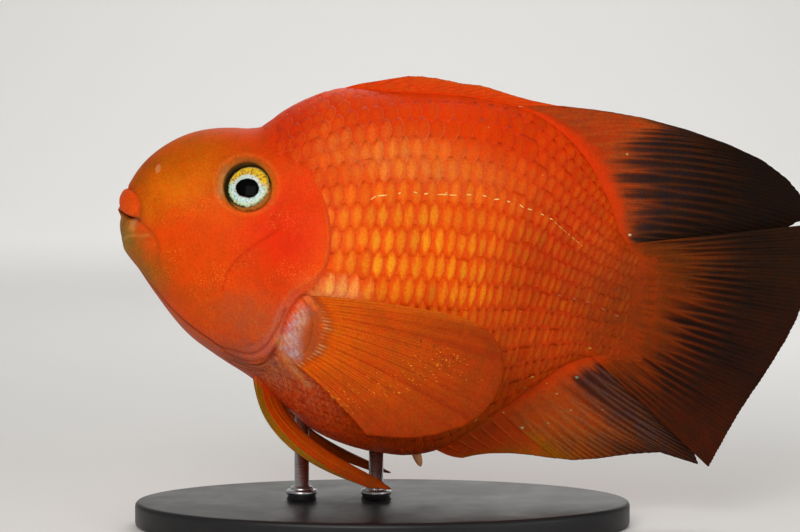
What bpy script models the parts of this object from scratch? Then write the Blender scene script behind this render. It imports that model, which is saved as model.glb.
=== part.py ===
"""A life-size still model of a blood parrot cichlid on a display stand.

Sizes are in metres. The fish is modelled along its own axis, with the snout at x = 0, the tail towards +X,
the back towards +Z and its left side towards -Y. One empty then tips it nose up and lifts it onto the stand.
"""

import math

import bmesh
import bpy
import numpy as np
from mathutils import Matrix, Vector

# Clearance between pieces that touch
GAP = 0.0003

# How far the nose is tipped up, and how high the snout stands over the floor
NOSE_UP = math.radians(11.0)
SNOUT_HEIGHT = 0.0970

# The outline of the back and of the belly, without fins: distance from the snout, height
BACK_LINE = (
    (0.0000, -0.0015), (0.0012, 0.0055), (0.0042, 0.0130), (0.0075, 0.0177), (0.0118, 0.0219),
    (0.0167, 0.0253), (0.0225, 0.0278), (0.0290, 0.0294), (0.0345, 0.0303), (0.0385, 0.0320),
    (0.0420, 0.0362), (0.0500, 0.0427), (0.0585, 0.0472), (0.0750, 0.0494), (0.0920, 0.0518),
    (0.1050, 0.0526), (0.1160, 0.0513), (0.1250, 0.0480), (0.1335, 0.0425), (0.1400, 0.0355),
    (0.1455, 0.0280), (0.1500, 0.0205), (0.1545, 0.0170), (0.1640, 0.0172),
)
BELLY_LINE = (
    (0.0000, -0.0015), (0.0014, -0.0090), (0.0035, -0.0125), (0.0095, -0.0181), (0.0155, -0.0240),
    (0.0280, -0.0345), (0.0365, -0.0387), (0.0500, -0.0443), (0.0620, -0.0512), (0.0700, -0.0556),
    (0.0820, -0.0583), (0.0915, -0.0586), (0.1005, -0.0576), (0.1090, -0.0540), (0.1160, -0.0482),
    (0.1235, -0.0405), (0.1325, -0.0310), (0.1410, -0.0222), (0.1475, -0.0186), (0.1540, -0.0182),
    (0.1640, -0.0186),
)

# Half the thickness of the body, and the height at which it is thickest
HALF_WIDTH = (
    (0.0000, 0.0000), (0.0012, 0.0062), (0.0042, 0.0105), (0.0095, 0.0145), (0.0180, 0.0188),
    (0.0290, 0.0222), (0.0400, 0.0248), (0.0520, 0.0270), (0.0650, 0.0282), (0.0800, 0.0278),
    (0.0950, 0.0258), (0.1100, 0.0218), (0.1250, 0.0160), (0.1380, 0.0105), (0.1500, 0.0066),
    (0.1640, 0.0034),
)
WIDEST_LEVEL = (
    (0.0000, -0.0015), (0.0042, -0.0015), (0.0120, -0.0040), (0.0300, -0.0090), (0.0550, -0.0120),
    (0.0850, -0.0120), (0.1150, -0.0050), (0.1400, -0.0005), (0.1640, -0.0005),
)

# How keeled the section is above and below its widest level: 1 is an ellipse, more is a sharper keel
BACK_KEEL = ((0.0, 1.0), (0.020, 0.95), (0.035, 0.95), (0.050, 1.12), (0.080, 1.22), (0.120, 1.30), (0.164, 1.0))
BELLY_KEEL = ((0.0, 1.0), (0.020, 0.95), (0.050, 1.00), (0.080, 0.92), (0.100, 1.00), (0.125, 1.25), (0.164, 1.0))

# Where the head ends at the nape, at the side and at the throat
NAPE_END = 0.0400
HEAD_SIDE_END = 0.0580
THROAT_END = 0.0470
# Where the tail stalk begins, and its rounded end at the back edge and at mid height
STALK_START = 0.1500
STALK_EDGE_END = 0.1560
STALK_MIDDLE_END = 0.1625

RING_POINTS = 40
# How many rings each length of the body has, and how the head's crowd towards the snout
HEAD_RINGS, HEAD_RING_EASE = 14, 1.9
TORSO_RINGS = 20
STALK_RINGS = 4

SKIN_COLOUR = (0.85, 0.16, 0.02, 1.0)
FIN_COLOUR = (0.55, 0.16, 0.04, 1.0)
LIP_COLOUR = (0.80, 0.16, 0.04, 1.0)
EYE_COLOUR = (0.55, 0.62, 0.45, 1.0)
BASE_COLOUR = (0.05, 0.05, 0.05, 1.0)
STEEL_COLOUR = (0.60, 0.60, 0.60, 1.0)


def smooth_curve(knots):
    """The cubic curve through (position, value) knots whose slope at a knot is the mean of its two chords.

    It runs over the square root of the position, so that the snout comes out blunt and round.
    """
    places, values = np.array(knots).T
    places = np.sqrt(places)
    chords = np.diff(values) / np.diff(places)
    slopes = np.concatenate([chords[:1], (chords[1:] + chords[:-1]) / 2, chords[-1:]])

    def value_at(position):
        place = np.sqrt(np.maximum(position, 0.0))
        k = np.clip(np.searchsorted(places, place, side="right") - 1, 0, len(places) - 2)
        span = places[k + 1] - places[k]
        t = (place - places[k]) / span
        start = (1 + 2 * t) * (1 - t) ** 2 * values[k] + t * (1 - t) ** 2 * span * slopes[k]
        end = t**2 * (3 - 2 * t) * values[k + 1] + t**2 * (t - 1) * span * slopes[k + 1]
        return start + end

    return value_at


back = smooth_curve(BACK_LINE)
belly = smooth_curve(BELLY_LINE)
half_width = smooth_curve(HALF_WIDTH)
widest_level = smooth_curve(WIDEST_LEVEL)
back_keel = smooth_curve(BACK_KEEL)
belly_keel = smooth_curve(BELLY_KEEL)


def body_points(x, turn):
    """Points of the body's surface at distance x, turned by an angle up from the left side's widest level."""
    level = widest_level(x)
    up = np.sin(turn)
    out = np.cos(turn)
    height = np.where(up >= 0, back(x) - level, level - belly(x))
    keel = np.where(up >= 0, back_keel(x), belly_keel(x))
    y = -half_width(x) * np.sign(out) * np.abs(out) ** keel
    return np.stack([x + 0 * y, y, level + height * up], axis=-1)


def side_width(x, z):
    """Half the body's thickness at distance x and height z."""
    level = widest_level(x)
    height = np.where(z >= level, back(x) - level, level - belly(x))
    keel = np.where(z >= level, back_keel(x), belly_keel(x))
    share = np.clip((z - level) / height, -1.0, 1.0)
    return half_width(x) * (1 - share**2) ** (keel / 2)


def belly_height(x, y):
    """The height of the belly's surface at distance x and y off the middle."""
    level = widest_level(x)
    share = np.sqrt(1 - (np.abs(y) / half_width(x)) ** (2 / belly_keel(x)))
    return level - (level - belly(x)) * share


def side_normal(x, z, side):
    """The outward unit normal of the body's side at distance x and height z. side is -1 left and 1 right."""
    step = 0.0002
    along = (side_width(x + step, z) - side_width(x - step, z)) / (2 * step)
    upward = (side_width(x, z + step) - side_width(x, z - step)) / (2 * step)
    normal = np.stack([-along, side + 0 * along, -upward], axis=-1)
    return normal / np.linalg.norm(normal, axis=-1, keepdims=True)


def make_material(name, colour, roughness, metallic=0.0):
    material = bpy.data.materials.new(name)
    material.use_nodes = True
    shader = material.node_tree.nodes["Principled BSDF"]
    shader.inputs["Base Color"].default_value = colour
    shader.inputs["Roughness"].default_value = roughness
    shader.inputs["Metallic"].default_value = metallic
    return material


def clear_scene():
    for obj in list(bpy.data.objects):
        bpy.data.objects.remove(obj)


def new_collection(name):
    collection = bpy.data.collections.new(name)
    bpy.context.scene.collection.children.link(collection)
    return collection


def add_mesh(name, points, faces, collection, material=None, smooth=40):
    """A mesh object of these points and faces, smooth but for edges sharper than the angle in degrees."""
    mesh = bpy.data.meshes.new(name)
    mesh.from_pydata([tuple(p) for p in points], [], faces)
    mesh.update()
    if material:
        mesh.materials.append(material)
    mesh.shade_smooth()
    mesh.set_sharp_from_angle(angle=math.radians(smooth))
    obj = bpy.data.objects.new(name, mesh)
    collection.objects.link(obj)
    return obj


def cap_faces(first, count, reverse):
    """Strips that close a ring from its lowest point to its highest, across the middle plane."""
    faces = []
    half = count // 2
    for i in range(half):
        corners = [first + i, first + i + 1, first + (count - i - 1) % count, first + (count - i) % count]
        corners = list(dict.fromkeys(corners))
        faces.append(corners[::-1] if reverse else corners)
    return faces


def loft_body(name, rings, collection, material, pole=None):
    """A closed skin over rings that run round the body. A pole is the single point in front of the first ring."""
    count = rings.shape[1]
    points = list(rings.reshape(-1, 3))
    faces = []
    for k in range(len(rings) - 1):
        for i in range(count):
            j = (i + 1) % count
            faces.append([k * count + i, (k + 1) * count + i, (k + 1) * count + j, k * count + j])
    faces += cap_faces((len(rings) - 1) * count, count, False)
    if pole is None:
        faces += cap_faces(0, count, True)
    else:
        points.append(pole)
        faces += [[len(points) - 1, i, (i + 1) % count] for i in range(count)]
    obj = add_mesh(name, points, faces, collection, material)
    face_outwards(obj)
    return obj


def face_outwards(obj):
    shape = bmesh.new()
    shape.from_mesh(obj.data)
    bmesh.ops.recalc_face_normals(shape, faces=shape.faces)
    shape.to_mesh(obj.data)
    shape.free()


def ring_turns():
    """Angles round the body, from the belly up the left side, over the back and down the right side."""
    return -math.pi / 2 + 2 * math.pi * np.arange(RING_POINTS) / RING_POINTS


def head_end(turn):
    """Distance from the snout at which the head ends, all round the body."""
    up = np.sin(turn)
    keel_end = np.where(up >= 0, NAPE_END, THROAT_END)
    return keel_end + (HEAD_SIDE_END - keel_end) * np.cos(turn) ** 2


def stalk_end(turn):
    """Distance from the snout at which the tail stalk ends, all round it."""
    return STALK_EDGE_END + (STALK_MIDDLE_END - STALK_EDGE_END) * np.cos(turn) ** 2


def stalk_end_at(z):
    """The same distance for a height on the stalk's end, between the heights of its ring's points."""
    turn = ring_turns()[: RING_POINTS // 2 + 1]
    ring = body_points(stalk_end(turn), turn)
    return np.interp(z, ring[:, 2], ring[:, 0])


def body_node(name, start, end, shares, collection, material, pole=None):
    """The length of the body between two rings, with rings at these shares of the way between them."""
    turn = ring_turns()
    rings = np.array([body_points(start + (end - start) * share, turn) for share in shares])
    return loft_body(name, rings, collection, material, pole)


def use_boolean(obj, other, operation):
    """Cuts obj by the other object, or joins the other to it, and keeps obj's largest closed surface."""
    modifier = obj.modifiers.new(operation.lower(), "BOOLEAN")
    modifier.operation = operation
    modifier.object = other
    modifier.solver = "EXACT"
    graph = bpy.context.evaluated_depsgraph_get()
    graph.update()
    mesh = bpy.data.meshes.new_from_object(obj.evaluated_get(graph))
    obj.modifiers.clear()
    obj.data = mesh
    keep_largest_surface(obj)


def keep_largest_surface(obj):
    shape = bmesh.new()
    shape.from_mesh(obj.data)
    bmesh.ops.remove_doubles(shape, verts=shape.verts, dist=1e-6)
    left = set(shape.faces)
    surfaces = []
    while left:
        seed = left.pop()
        surface = {seed}
        to_visit = [seed]
        while to_visit:
            face = to_visit.pop()
            near = {f for edge in face.edges for f in edge.link_faces if f in left}
            left -= near
            surface |= near
            to_visit += near
        surfaces.append(surface)
    largest = max(surfaces, key=len)
    extra = [face for surface in surfaces if surface is not largest for face in surface]
    bmesh.ops.delete(shape, geom=extra, context="FACES")
    shape.to_mesh(obj.data)
    shape.free()


def ellipsoid(name, centre, radii, collection, material=None, turned=None, segments=24, rings=14):
    """An ellipsoid from a UV sphere. turned is the direction that its own Y axis is turned to."""
    mesh = bpy.data.meshes.new(name)
    shape = bmesh.new()
    bmesh.ops.create_uvsphere(shape, u_segments=segments, v_segments=rings, radius=1.0)
    shape.to_mesh(mesh)
    shape.free()
    mesh.transform(Matrix.Rotation(math.pi / 2, 4, "X"))
    mesh.transform(Matrix.Diagonal((*radii, 1.0)))
    if turned is not None:
        mesh.transform(Vector((0, 1, 0)).rotation_difference(Vector(turned)).to_matrix().to_4x4())
    if material:
        mesh.materials.append(material)
    mesh.shade_smooth()
    obj = bpy.data.objects.new(name, mesh)
    obj.location = centre
    collection.objects.link(obj)
    bpy.context.view_layer.update()
    return obj


# Gill covers

# The middle of a gill cover seen from the side, the edge of its bony plate, and the edge of the thin skin
# flap that shows behind and under the plate, each a ring of (distance, height) points in the same order
GILL_MIDDLE = (0.0490, -0.0080)
PLATE_EDGE = (
    (0.0508, 0.0212), (0.0548, 0.0196), (0.0598, 0.0140), (0.0637, 0.0055), (0.0646, -0.0030),
    (0.0618, -0.0093), (0.0562, -0.0140), (0.0542, -0.0205), (0.0528, -0.0265), (0.0475, -0.0325),
    (0.0395, -0.0338), (0.0362, -0.0270), (0.0362, -0.0165), (0.0392, -0.0072), (0.0455, -0.0005),
    (0.0498, 0.0095),
)
FLAP_EDGE = (
    (0.0508, 0.0220), (0.0554, 0.0203), (0.0606, 0.0144), (0.0645, 0.0056), (0.0655, -0.0036),
    (0.0632, -0.0104), (0.0588, -0.0152), (0.0562, -0.0215), (0.0552, -0.0300), (0.0505, -0.0375),
    (0.0400, -0.0362), (0.0354, -0.0280), (0.0354, -0.0165), (0.0384, -0.0066), (0.0447, 0.0001),
    (0.0490, 0.0100),
)
GILL_EDGE_POINTS = 30
GILL_DEPTH = 0.0017
# How far the plate stands off the body at its front and at its rear edge, and the flap at its own
PLATE_LIFT_FRONT, PLATE_LIFT_REAR = 0.0003, 0.0012
FLAP_LIFT_FRONT, FLAP_LIFT_REAR = 0.0001, 0.0004
HOLLOW_CLEARANCE = 0.004
HOLLOW_GAP = 0.0004
# Where the plate's lift grows from its front value to its rear value
LIFT_FROM, LIFT_TO = 0.040, 0.060


def closed_curve(corners, count):
    """Points along a smooth closed curve through these corners."""
    corners = np.array(corners)
    place = np.arange(count) / count * len(corners)
    k = place.astype(int)
    t = (place - k)[:, None]
    a, b, c, d = (corners[(k + n) % len(corners)] for n in (-1, 0, 1, 2))
    return b + (c - a) / 2 * t + (2 * a - 5 * b + 4 * c - d) / 2 * t**2 + (3 * b - a - 3 * c + d) / 2 * t**3


def side_plate(name, side, middle, rings, depth, collection, material):
    """A closed plate laid on the body's side.

    Each ring is (outline, lift): (distance, height) points round the middle, and how far the outer face
    stands off the body there. The inner face lies at this depth in the body.
    """
    count = len(rings[0][0])
    points = []
    for outline, lift in rings:
        off = side_width(outline[:, 0], outline[:, 1]) + lift
        points += list(np.stack([outline[:, 0], side * off, outline[:, 1]], axis=-1))
    for outline, lift in rings[::-1]:
        off = side_width(outline[:, 0], outline[:, 1]) - depth
        points += list(np.stack([outline[:, 0], side * off, outline[:, 1]], axis=-1))
    middle_off = float(side_width(*middle))
    points.append((middle[0], side * (middle_off + float(rings[0][1].mean())), middle[1]))
    points.append((middle[0], side * (middle_off - depth), middle[1]))
    faces = []
    for k in range(2 * len(rings) - 1):
        for i in range(count):
            j = (i + 1) % count
            faces.append([k * count + i, (k + 1) * count + i, (k + 1) * count + j, k * count + j])
    last = (2 * len(rings) - 1) * count
    faces += [[len(points) - 2, i, (i + 1) % count] for i in range(count)]
    faces += [[len(points) - 1, last + (i + 1) % count, last + i] for i in range(count)]
    obj = add_mesh(name, points, faces, collection, material)
    face_outwards(obj)
    return obj


def rear_blend(outline, front_value, rear_value):
    """A value at the front of the cover that changes to another at its rear."""
    to_rear = np.clip((outline[:, 0] - LIFT_FROM) / (LIFT_TO - LIFT_FROM), 0.0, 1.0)
    return front_value + (rear_value - front_value) * to_rear


def gill_rings():
    """The rings of a cover: a domed plate, a step at its edge, and the flap of skin beyond it."""
    middle = np.array(GILL_MIDDLE)
    plate = closed_curve(PLATE_EDGE, GILL_EDGE_POINTS)
    flap = closed_curve(FLAP_EDGE, GILL_EDGE_POINTS)
    rings = []
    for share in (0.35, 0.72, 0.97):
        outline = middle + (plate - middle) * share
        rings.append((outline, rear_blend(outline, PLATE_LIFT_FRONT, PLATE_LIFT_REAR)))
    rings.append((plate, rear_blend(plate, FLAP_LIFT_FRONT, FLAP_LIFT_REAR)))
    rings.append((flap, rear_blend(flap, FLAP_LIFT_FRONT, FLAP_LIFT_REAR)))
    return rings


def make_gill_covers(fish, cutters, skin):
    """Both covers, and the hollows that they lie in."""
    rings = gill_rings()
    flap = rings[-1][0]
    away = flap - np.array(GILL_MIDDLE)
    away /= np.linalg.norm(away, axis=1, keepdims=True)
    clear = HOLLOW_CLEARANCE + 0 * flap[:, 0]
    hollow_rings = [(outline, clear) for outline, _ in rings[:-1]] + [(flap + away * HOLLOW_GAP, clear)]
    hollows = []
    for word, side in (("left", -1), ("right", 1)):
        side_plate(f"gill_cover_{word}", side, GILL_MIDDLE, rings, GILL_DEPTH, fish, skin)
        depth = GILL_DEPTH + HOLLOW_GAP
        hollows.append(side_plate(f"gill_hollow_{word}", side, GILL_MIDDLE, hollow_rings, depth, cutters, None))
    return hollows


# Eyes, their rims and the nostrils

EYE_CENTRE = (0.0383, 0.0132)
EYE_RADIUS = 0.0073
EYE_DEPTH_RADIUS = 0.0046
EYE_SUNK = 0.0022
EYE_RIM_RADIUS = 0.0078
EYE_RIM_THICKNESS = 0.0024
NOSTRIL_CENTRE = (0.0105, 0.0132)
NOSTRIL_RIM_RADIUS = 0.0011
NOSTRIL_RIM_THICKNESS = 0.0008
NOSTRIL_PIT_RADIUS = 0.0006


def side_ring(name, side, centre, radius, thickness, steps, collection):
    """A round rim that lies half sunk on the body's side."""
    x, z = centre
    normal = side_normal(np.array(x), np.array(z), side)
    bpy.ops.mesh.primitive_torus_add(
        major_radius=radius, minor_radius=thickness / 2, major_segments=steps, minor_segments=6,
    )
    rim = bpy.context.object
    rim.name = name
    rim.data.transform(Vector((0, 0, 1)).rotation_difference(Vector(normal)).to_matrix().to_4x4())
    rim.location = (x, side * float(side_width(x, z)), z)
    for other in list(rim.users_collection):
        other.objects.unlink(rim)
    collection.objects.link(rim)
    bpy.context.view_layer.update()
    return rim


def make_eyes_and_nostrils(head, fish, cutters, material):
    for word, side in (("left", -1), ("right", 1)):
        rim = side_ring(f"eye_rim_{word}", side, EYE_CENTRE, EYE_RIM_RADIUS, EYE_RIM_THICKNESS, 20, cutters)
        use_boolean(head, rim, "UNION")
        x, z = EYE_CENTRE
        normal = side_normal(np.array(x), np.array(z), side)
        centre = np.array([x, side * float(side_width(x, z)), z]) - normal * EYE_SUNK
        radii = (EYE_RADIUS, EYE_DEPTH_RADIUS, EYE_RADIUS)
        ellipsoid(f"eye_{word}", centre, radii, fish, material, normal * side, 20, 10)
        wider = [r + GAP for r in radii]
        socket = ellipsoid(f"socket_{word}", centre, wider, cutters, None, normal * side, 20, 10)
        use_boolean(head, socket, "DIFFERENCE")
        x, z = NOSTRIL_CENTRE
        rim = side_ring(
            f"nostril_rim_{word}", side, NOSTRIL_CENTRE, NOSTRIL_RIM_RADIUS, NOSTRIL_RIM_THICKNESS, 12, cutters,
        )
        use_boolean(head, rim, "UNION")
        pit = NOSTRIL_PIT_RADIUS
        centre = (x, side * float(side_width(x, z)), z)
        hole = ellipsoid(f"nostril_{word}", centre, (pit, 2 * pit, pit), cutters, None, None, 12, 6)
        use_boolean(head, hole, "DIFFERENCE")


# Fins: each is a membrane between rays

MEMBRANE = 0.00055
# A ray stands out from the membrane by this much at its root and at its tip, its foot is this share of the
# way to the next ray wide, and the membrane's edge dips this share of the fin's length between rays
RAY_HEIGHT_ROOT, RAY_HEIGHT_TIP = 0.00030, 0.00012
RAY_FOOT = 0.22
EDGE_DIP = 0.025
# Rows of points crowd towards the root, and the thicker root blends into the membrane over this share
ROW_EASE = 1.15
ROOT_BLEND = 0.22
SPINY_ROOT_HALF = 0.0011
SOFT_ROOT_HALF = 0.0012


def ray_curves(bases, bends, tips, places, shares):
    """Points along each ray at these shares of its length, for places counted in rays across the fin.

    A ray is the curve from its base to its tip that leans towards its bend on the way.
    """
    index = np.arange(len(bases))
    corners = []
    for points in (bases, bends, tips):
        points = np.asarray(points, float)
        corners.append(np.stack([np.interp(places, index, points[:, n]) for n in range(3)], axis=-1))
    base, bend, tip = (c[None] for c in corners)
    s = shares[..., None]
    return (1 - s) ** 2 * base + 2 * s * (1 - s) * bend + s**2 * tip


def surface_normals(grid):
    """Unit normals of a grid of points, rows by columns."""
    down = np.gradient(grid, axis=0)
    across = np.gradient(grid, axis=1)
    normal = np.cross(down, across)
    return normal / np.linalg.norm(normal, axis=-1, keepdims=True)


def membrane_solid(name, front, rear, collection, material):
    """A closed thin solid between two grids of points, its two faces split into triangles alike."""
    rows, columns = front.shape[:2]
    size = rows * columns
    faces = []
    for r in range(rows - 1):
        for c in range(columns - 1):
            a = r * columns + c
            b, d, e = a + 1, a + columns, a + columns + 1
            faces += [[a, d, e], [a, e, b]]
            faces += [[size + a, size + e, size + d], [size + a, size + b, size + e]]
    rim = [c for c in range(columns)]
    rim += [r * columns + columns - 1 for r in range(1, rows)]
    rim += [(rows - 1) * columns + c for c in range(columns - 2, -1, -1)]
    rim += [r * columns for r in range(rows - 2, 0, -1)]
    for i, a in enumerate(rim):
        b = rim[(i + 1) % len(rim)]
        faces += [[a, b, size + b], [a, size + b, size + a]]
    points = np.concatenate([front.reshape(-1, 3), rear.reshape(-1, 3)])
    obj = add_mesh(name, points, faces, collection, material)
    face_outwards(obj)
    return obj


def fin_faces(bases, bends, tips, rows, root_half):
    """Both faces of a fin as grids, from its root row to its edge: a crest along each ray between two feet.

    root_half is half the thickness at the root.
    """
    last = len(bases) - 1
    places = [(ray + step, step == 0) for ray in range(last + 1) for step in (-RAY_FOOT, 0, RAY_FOOT)]
    places = [(place, crest) for place, crest in places if 0 <= place <= last]
    crest = np.array([c for _, c in places], float)
    places = np.array([p for p, _ in places])
    shares = np.linspace(0, 1, rows)[:, None] ** ROW_EASE * (1 - EDGE_DIP * (1 - crest))
    middle = ray_curves(bases, bends, tips, places, shares)
    normals = surface_normals(middle)
    half = MEMBRANE / 2 + crest * (RAY_HEIGHT_ROOT + (RAY_HEIGHT_TIP - RAY_HEIGHT_ROOT) * shares)
    half = half + (root_half - half) * np.clip(1 - shares / ROOT_BLEND, 0, 1) ** 2
    return middle - normals * half[..., None], middle + normals * half[..., None]


def spread(first, last, count, ease=1.0):
    """Values from first to last, closer together near first when ease is over 1."""
    return first + (last - first) * np.linspace(0, 1, count) ** ease


def line_through(corners, count):
    """Evenly counted points along a smooth open curve through these corners."""
    corners = np.array(corners, float)
    padded = np.concatenate([2 * corners[:1] - corners[1:2], corners, 2 * corners[-1:] - corners[-2:-1]])
    place = np.linspace(0, len(corners) - 1, count)
    k = np.minimum(place.astype(int), len(corners) - 2)
    t = (place - k)[:, None]
    a, b, c, d = (padded[k + n] for n in range(4))
    return b + (c - a) / 2 * t + (2 * a - 5 * b + 4 * c - d) / 2 * t**2 + (3 * b - a - 3 * c + d) / 2 * t**3


def keel_roots(line, distances, outward):
    """Points just off the back or the belly in the middle plane, at these distances."""
    step = 0.0002
    slope = (line(distances + step) - line(distances - step)) / (2 * step)
    normal = np.stack([-slope, 0 * slope, 1 + 0 * slope], axis=-1) * outward
    normal /= np.linalg.norm(normal, axis=-1, keepdims=True)
    root = np.stack([distances, 0 * distances, line(distances)], axis=-1)
    return root + normal * GAP


def in_middle_plane(points, sway):
    """(x, z) points as 3-D ones, bent aside by sway metres at the far end of the fin."""
    points = np.asarray(points, float)
    return np.stack([points[:, 0], sway, points[:, 1]], axis=-1)


# The folded spiny part of the back fin, whose spines bow up by a little
BACK_SPINES = 15
BACK_SPINE_BOW = 0.0008
BACK_SPINE_FROM, BACK_SPINE_TO = 0.0600, 0.1105
BACK_SPINE_EDGE = (
    (0.0700, 0.0515), (0.0785, 0.0549), (0.0865, 0.0559), (0.0945, 0.0557), (0.1000, 0.0562),
    (0.1060, 0.0552), (0.1160, 0.0534),
)


def make_spiny_back_fin(fish, material):
    roots = keel_roots(back, spread(BACK_SPINE_FROM, BACK_SPINE_TO, BACK_SPINES), 1)
    tips = in_middle_plane(line_through(BACK_SPINE_EDGE, BACK_SPINES), np.zeros(BACK_SPINES))
    bends = (roots + tips) / 2
    bends[:, 2] += BACK_SPINE_BOW
    front, rear = fin_faces(roots, bends, tips, 4, SPINY_ROOT_HALF)
    return membrane_solid("back_fin_spines", front, rear, fish, material)


# The soft part of the back fin
BACK_RAYS = 13
BACK_RAY_FROM, BACK_RAY_TO = 0.1125, 0.1492
BACK_RAY_EDGE = (
    (0.1290, 0.0545), (0.1405, 0.0556), (0.1520, 0.0558), (0.1645, 0.0549), (0.1770, 0.0531),
    (0.1882, 0.0504), (0.1974, 0.0460), (0.2034, 0.0411), (0.2054, 0.0372), (0.1985, 0.0335),
    (0.1877, 0.0300), (0.1761, 0.0262), (0.1661, 0.0226),
)
BACK_FIN_SWAY = 0.0045
# How far a ray bows up, as a share of its length
BACK_RAY_BOW = 0.09


def make_soft_back_fin(fish, material):
    roots = keel_roots(back, spread(BACK_RAY_FROM, BACK_RAY_TO, BACK_RAYS, 0.85), 1)
    edge = line_through(BACK_RAY_EDGE, BACK_RAYS)
    reach = np.linalg.norm(edge - roots[:, [0, 2]], axis=1)
    tips = in_middle_plane(edge, BACK_FIN_SWAY * reach / reach.max())
    bends = (roots + tips) / 2
    bends[:, 2] += BACK_RAY_BOW * reach
    bends[:, 1] = 0
    front, rear = fin_faces(roots, bends, tips, 8, SOFT_ROOT_HALF)
    return membrane_solid("back_fin_rays", front, rear, fish, material)


# The folded spiny part of the belly fin, whose spines bow down by a little
BELLY_SPINES = 7
BELLY_SPINE_BOW = 0.0012
BELLY_SPINE_FROM, BELLY_SPINE_TO = 0.1080, 0.1235
BELLY_SPINE_EDGE = ((0.1165, -0.0555), (0.1215, -0.0530), (0.1265, -0.0515), (0.1320, -0.0500), (0.1370, -0.0492))


def make_spiny_belly_fin(fish, material):
    roots = keel_roots(belly, spread(BELLY_SPINE_FROM, BELLY_SPINE_TO, BELLY_SPINES), -1)
    tips = in_middle_plane(line_through(BELLY_SPINE_EDGE, BELLY_SPINES), np.zeros(BELLY_SPINES))
    bends = (roots + tips) / 2
    bends[:, 2] -= BELLY_SPINE_BOW
    front, rear = fin_faces(roots, bends, tips, 4, SPINY_ROOT_HALF)
    return membrane_solid("belly_fin_spines", front, rear, fish, material)


# The soft part of the belly fin
BELLY_RAYS = 10
BELLY_RAY_FROM, BELLY_RAY_TO = 0.1255, 0.1470
BELLY_RAY_EDGE = (
    (0.1435, -0.0506), (0.1495, -0.0503), (0.1575, -0.0482), (0.1665, -0.0452), (0.1755, -0.0430),
    (0.1878, -0.0447), (0.1820, -0.0411), (0.1752, -0.0370), (0.1680, -0.0322), (0.1588, -0.0254),
)
BELLY_FIN_SWAY = 0.0040
BELLY_RAY_BOW = 0.06


def make_soft_belly_fin(fish, material):
    roots = keel_roots(belly, spread(BELLY_RAY_FROM, BELLY_RAY_TO, BELLY_RAYS), -1)
    edge = line_through(BELLY_RAY_EDGE, BELLY_RAYS)
    reach = np.linalg.norm(edge - roots[:, [0, 2]], axis=1)
    tips = in_middle_plane(edge, BELLY_FIN_SWAY * reach / reach.max())
    bends = (roots + tips) / 2
    bends[:, 2] -= BELLY_RAY_BOW * reach
    bends[:, 1] = 0
    front, rear = fin_faces(roots, bends, tips, 7, SOFT_ROOT_HALF)
    return membrane_solid("belly_fin_rays", front, rear, fish, material)


# The tail fin
TAIL_RAYS = 16
TAIL_ROOT_LOW, TAIL_ROOT_HIGH = -0.0172, 0.0160
TAIL_EDGE = (
    (0.1895, -0.0438), (0.1925, -0.0340), (0.1965, -0.0225), (0.2015, -0.0105), (0.2058, 0.0020),
    (0.2080, 0.0140), (0.2085, 0.0250), (0.2065, 0.0345),
)
TAIL_SWAY = -0.0035
TAIL_ROOT_HALF = 0.0016
# Where along a ray it bends, and how much of its tip's height off the fin's middle the bend takes back
TAIL_BEND_AT, TAIL_BEND_IN = 0.45, 0.10


def make_tail_fin(fish, material):
    heights = spread(TAIL_ROOT_LOW, TAIL_ROOT_HIGH, TAIL_RAYS)
    roots = np.stack([stalk_end_at(heights) + GAP, 0 * heights, heights], axis=-1)
    edge = line_through(TAIL_EDGE, TAIL_RAYS)
    tips = in_middle_plane(edge, np.full(TAIL_RAYS, TAIL_SWAY))
    bends = roots + (tips - roots) * TAIL_BEND_AT
    middle = (edge[:, 1].max() + edge[:, 1].min()) / 2
    bends[:, 2] += (middle - edge[:, 1]) * TAIL_BEND_IN
    bends[:, 1] = 0
    front, rear = fin_faces(roots, bends, tips, 8, TAIL_ROOT_HALF)
    return membrane_solid("tail_fin", front, rear, fish, material)


# The breast fins: where the root lies on the body, and the fin's edge as distance, height and distance off
# the middle plane
BREAST_RAYS = 13
BREAST_ROOT = ((0.0635, -0.0148), (0.0672, -0.0185), (0.0684, -0.0235), (0.0676, -0.0290), (0.0640, -0.0335))
BREAST_ROOT_LENGTH = 0.0030
BREAST_EDGE = (
    (0.1060, -0.0112, 0.0335), (0.1129, -0.0128, 0.0345), (0.1184, -0.0169, 0.0352), (0.1208, -0.0225, 0.0360),
    (0.1207, -0.0295, 0.0365), (0.1180, -0.0362, 0.0365), (0.1124, -0.0420, 0.0358), (0.1036, -0.0466, 0.0345),
    (0.0955, -0.0490, 0.0330), (0.0860, -0.0501, 0.0312),
)
BREAST_STAND_OFF = 0.0040
BREAST_ROOT_HALF = 0.0011
# How far off the body the rays start, where along its length a ray bends and how far the bend is raised
BREAST_RAY_START = 0.0008
BREAST_BEND_AT, BREAST_BEND_UP = 0.45, 0.0020


def on_side(x, z, side):
    """Points a gap off the body's side."""
    return np.stack([x, side * side_width(x, z), z], axis=-1) + side_normal(x, z, side) * GAP


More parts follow.
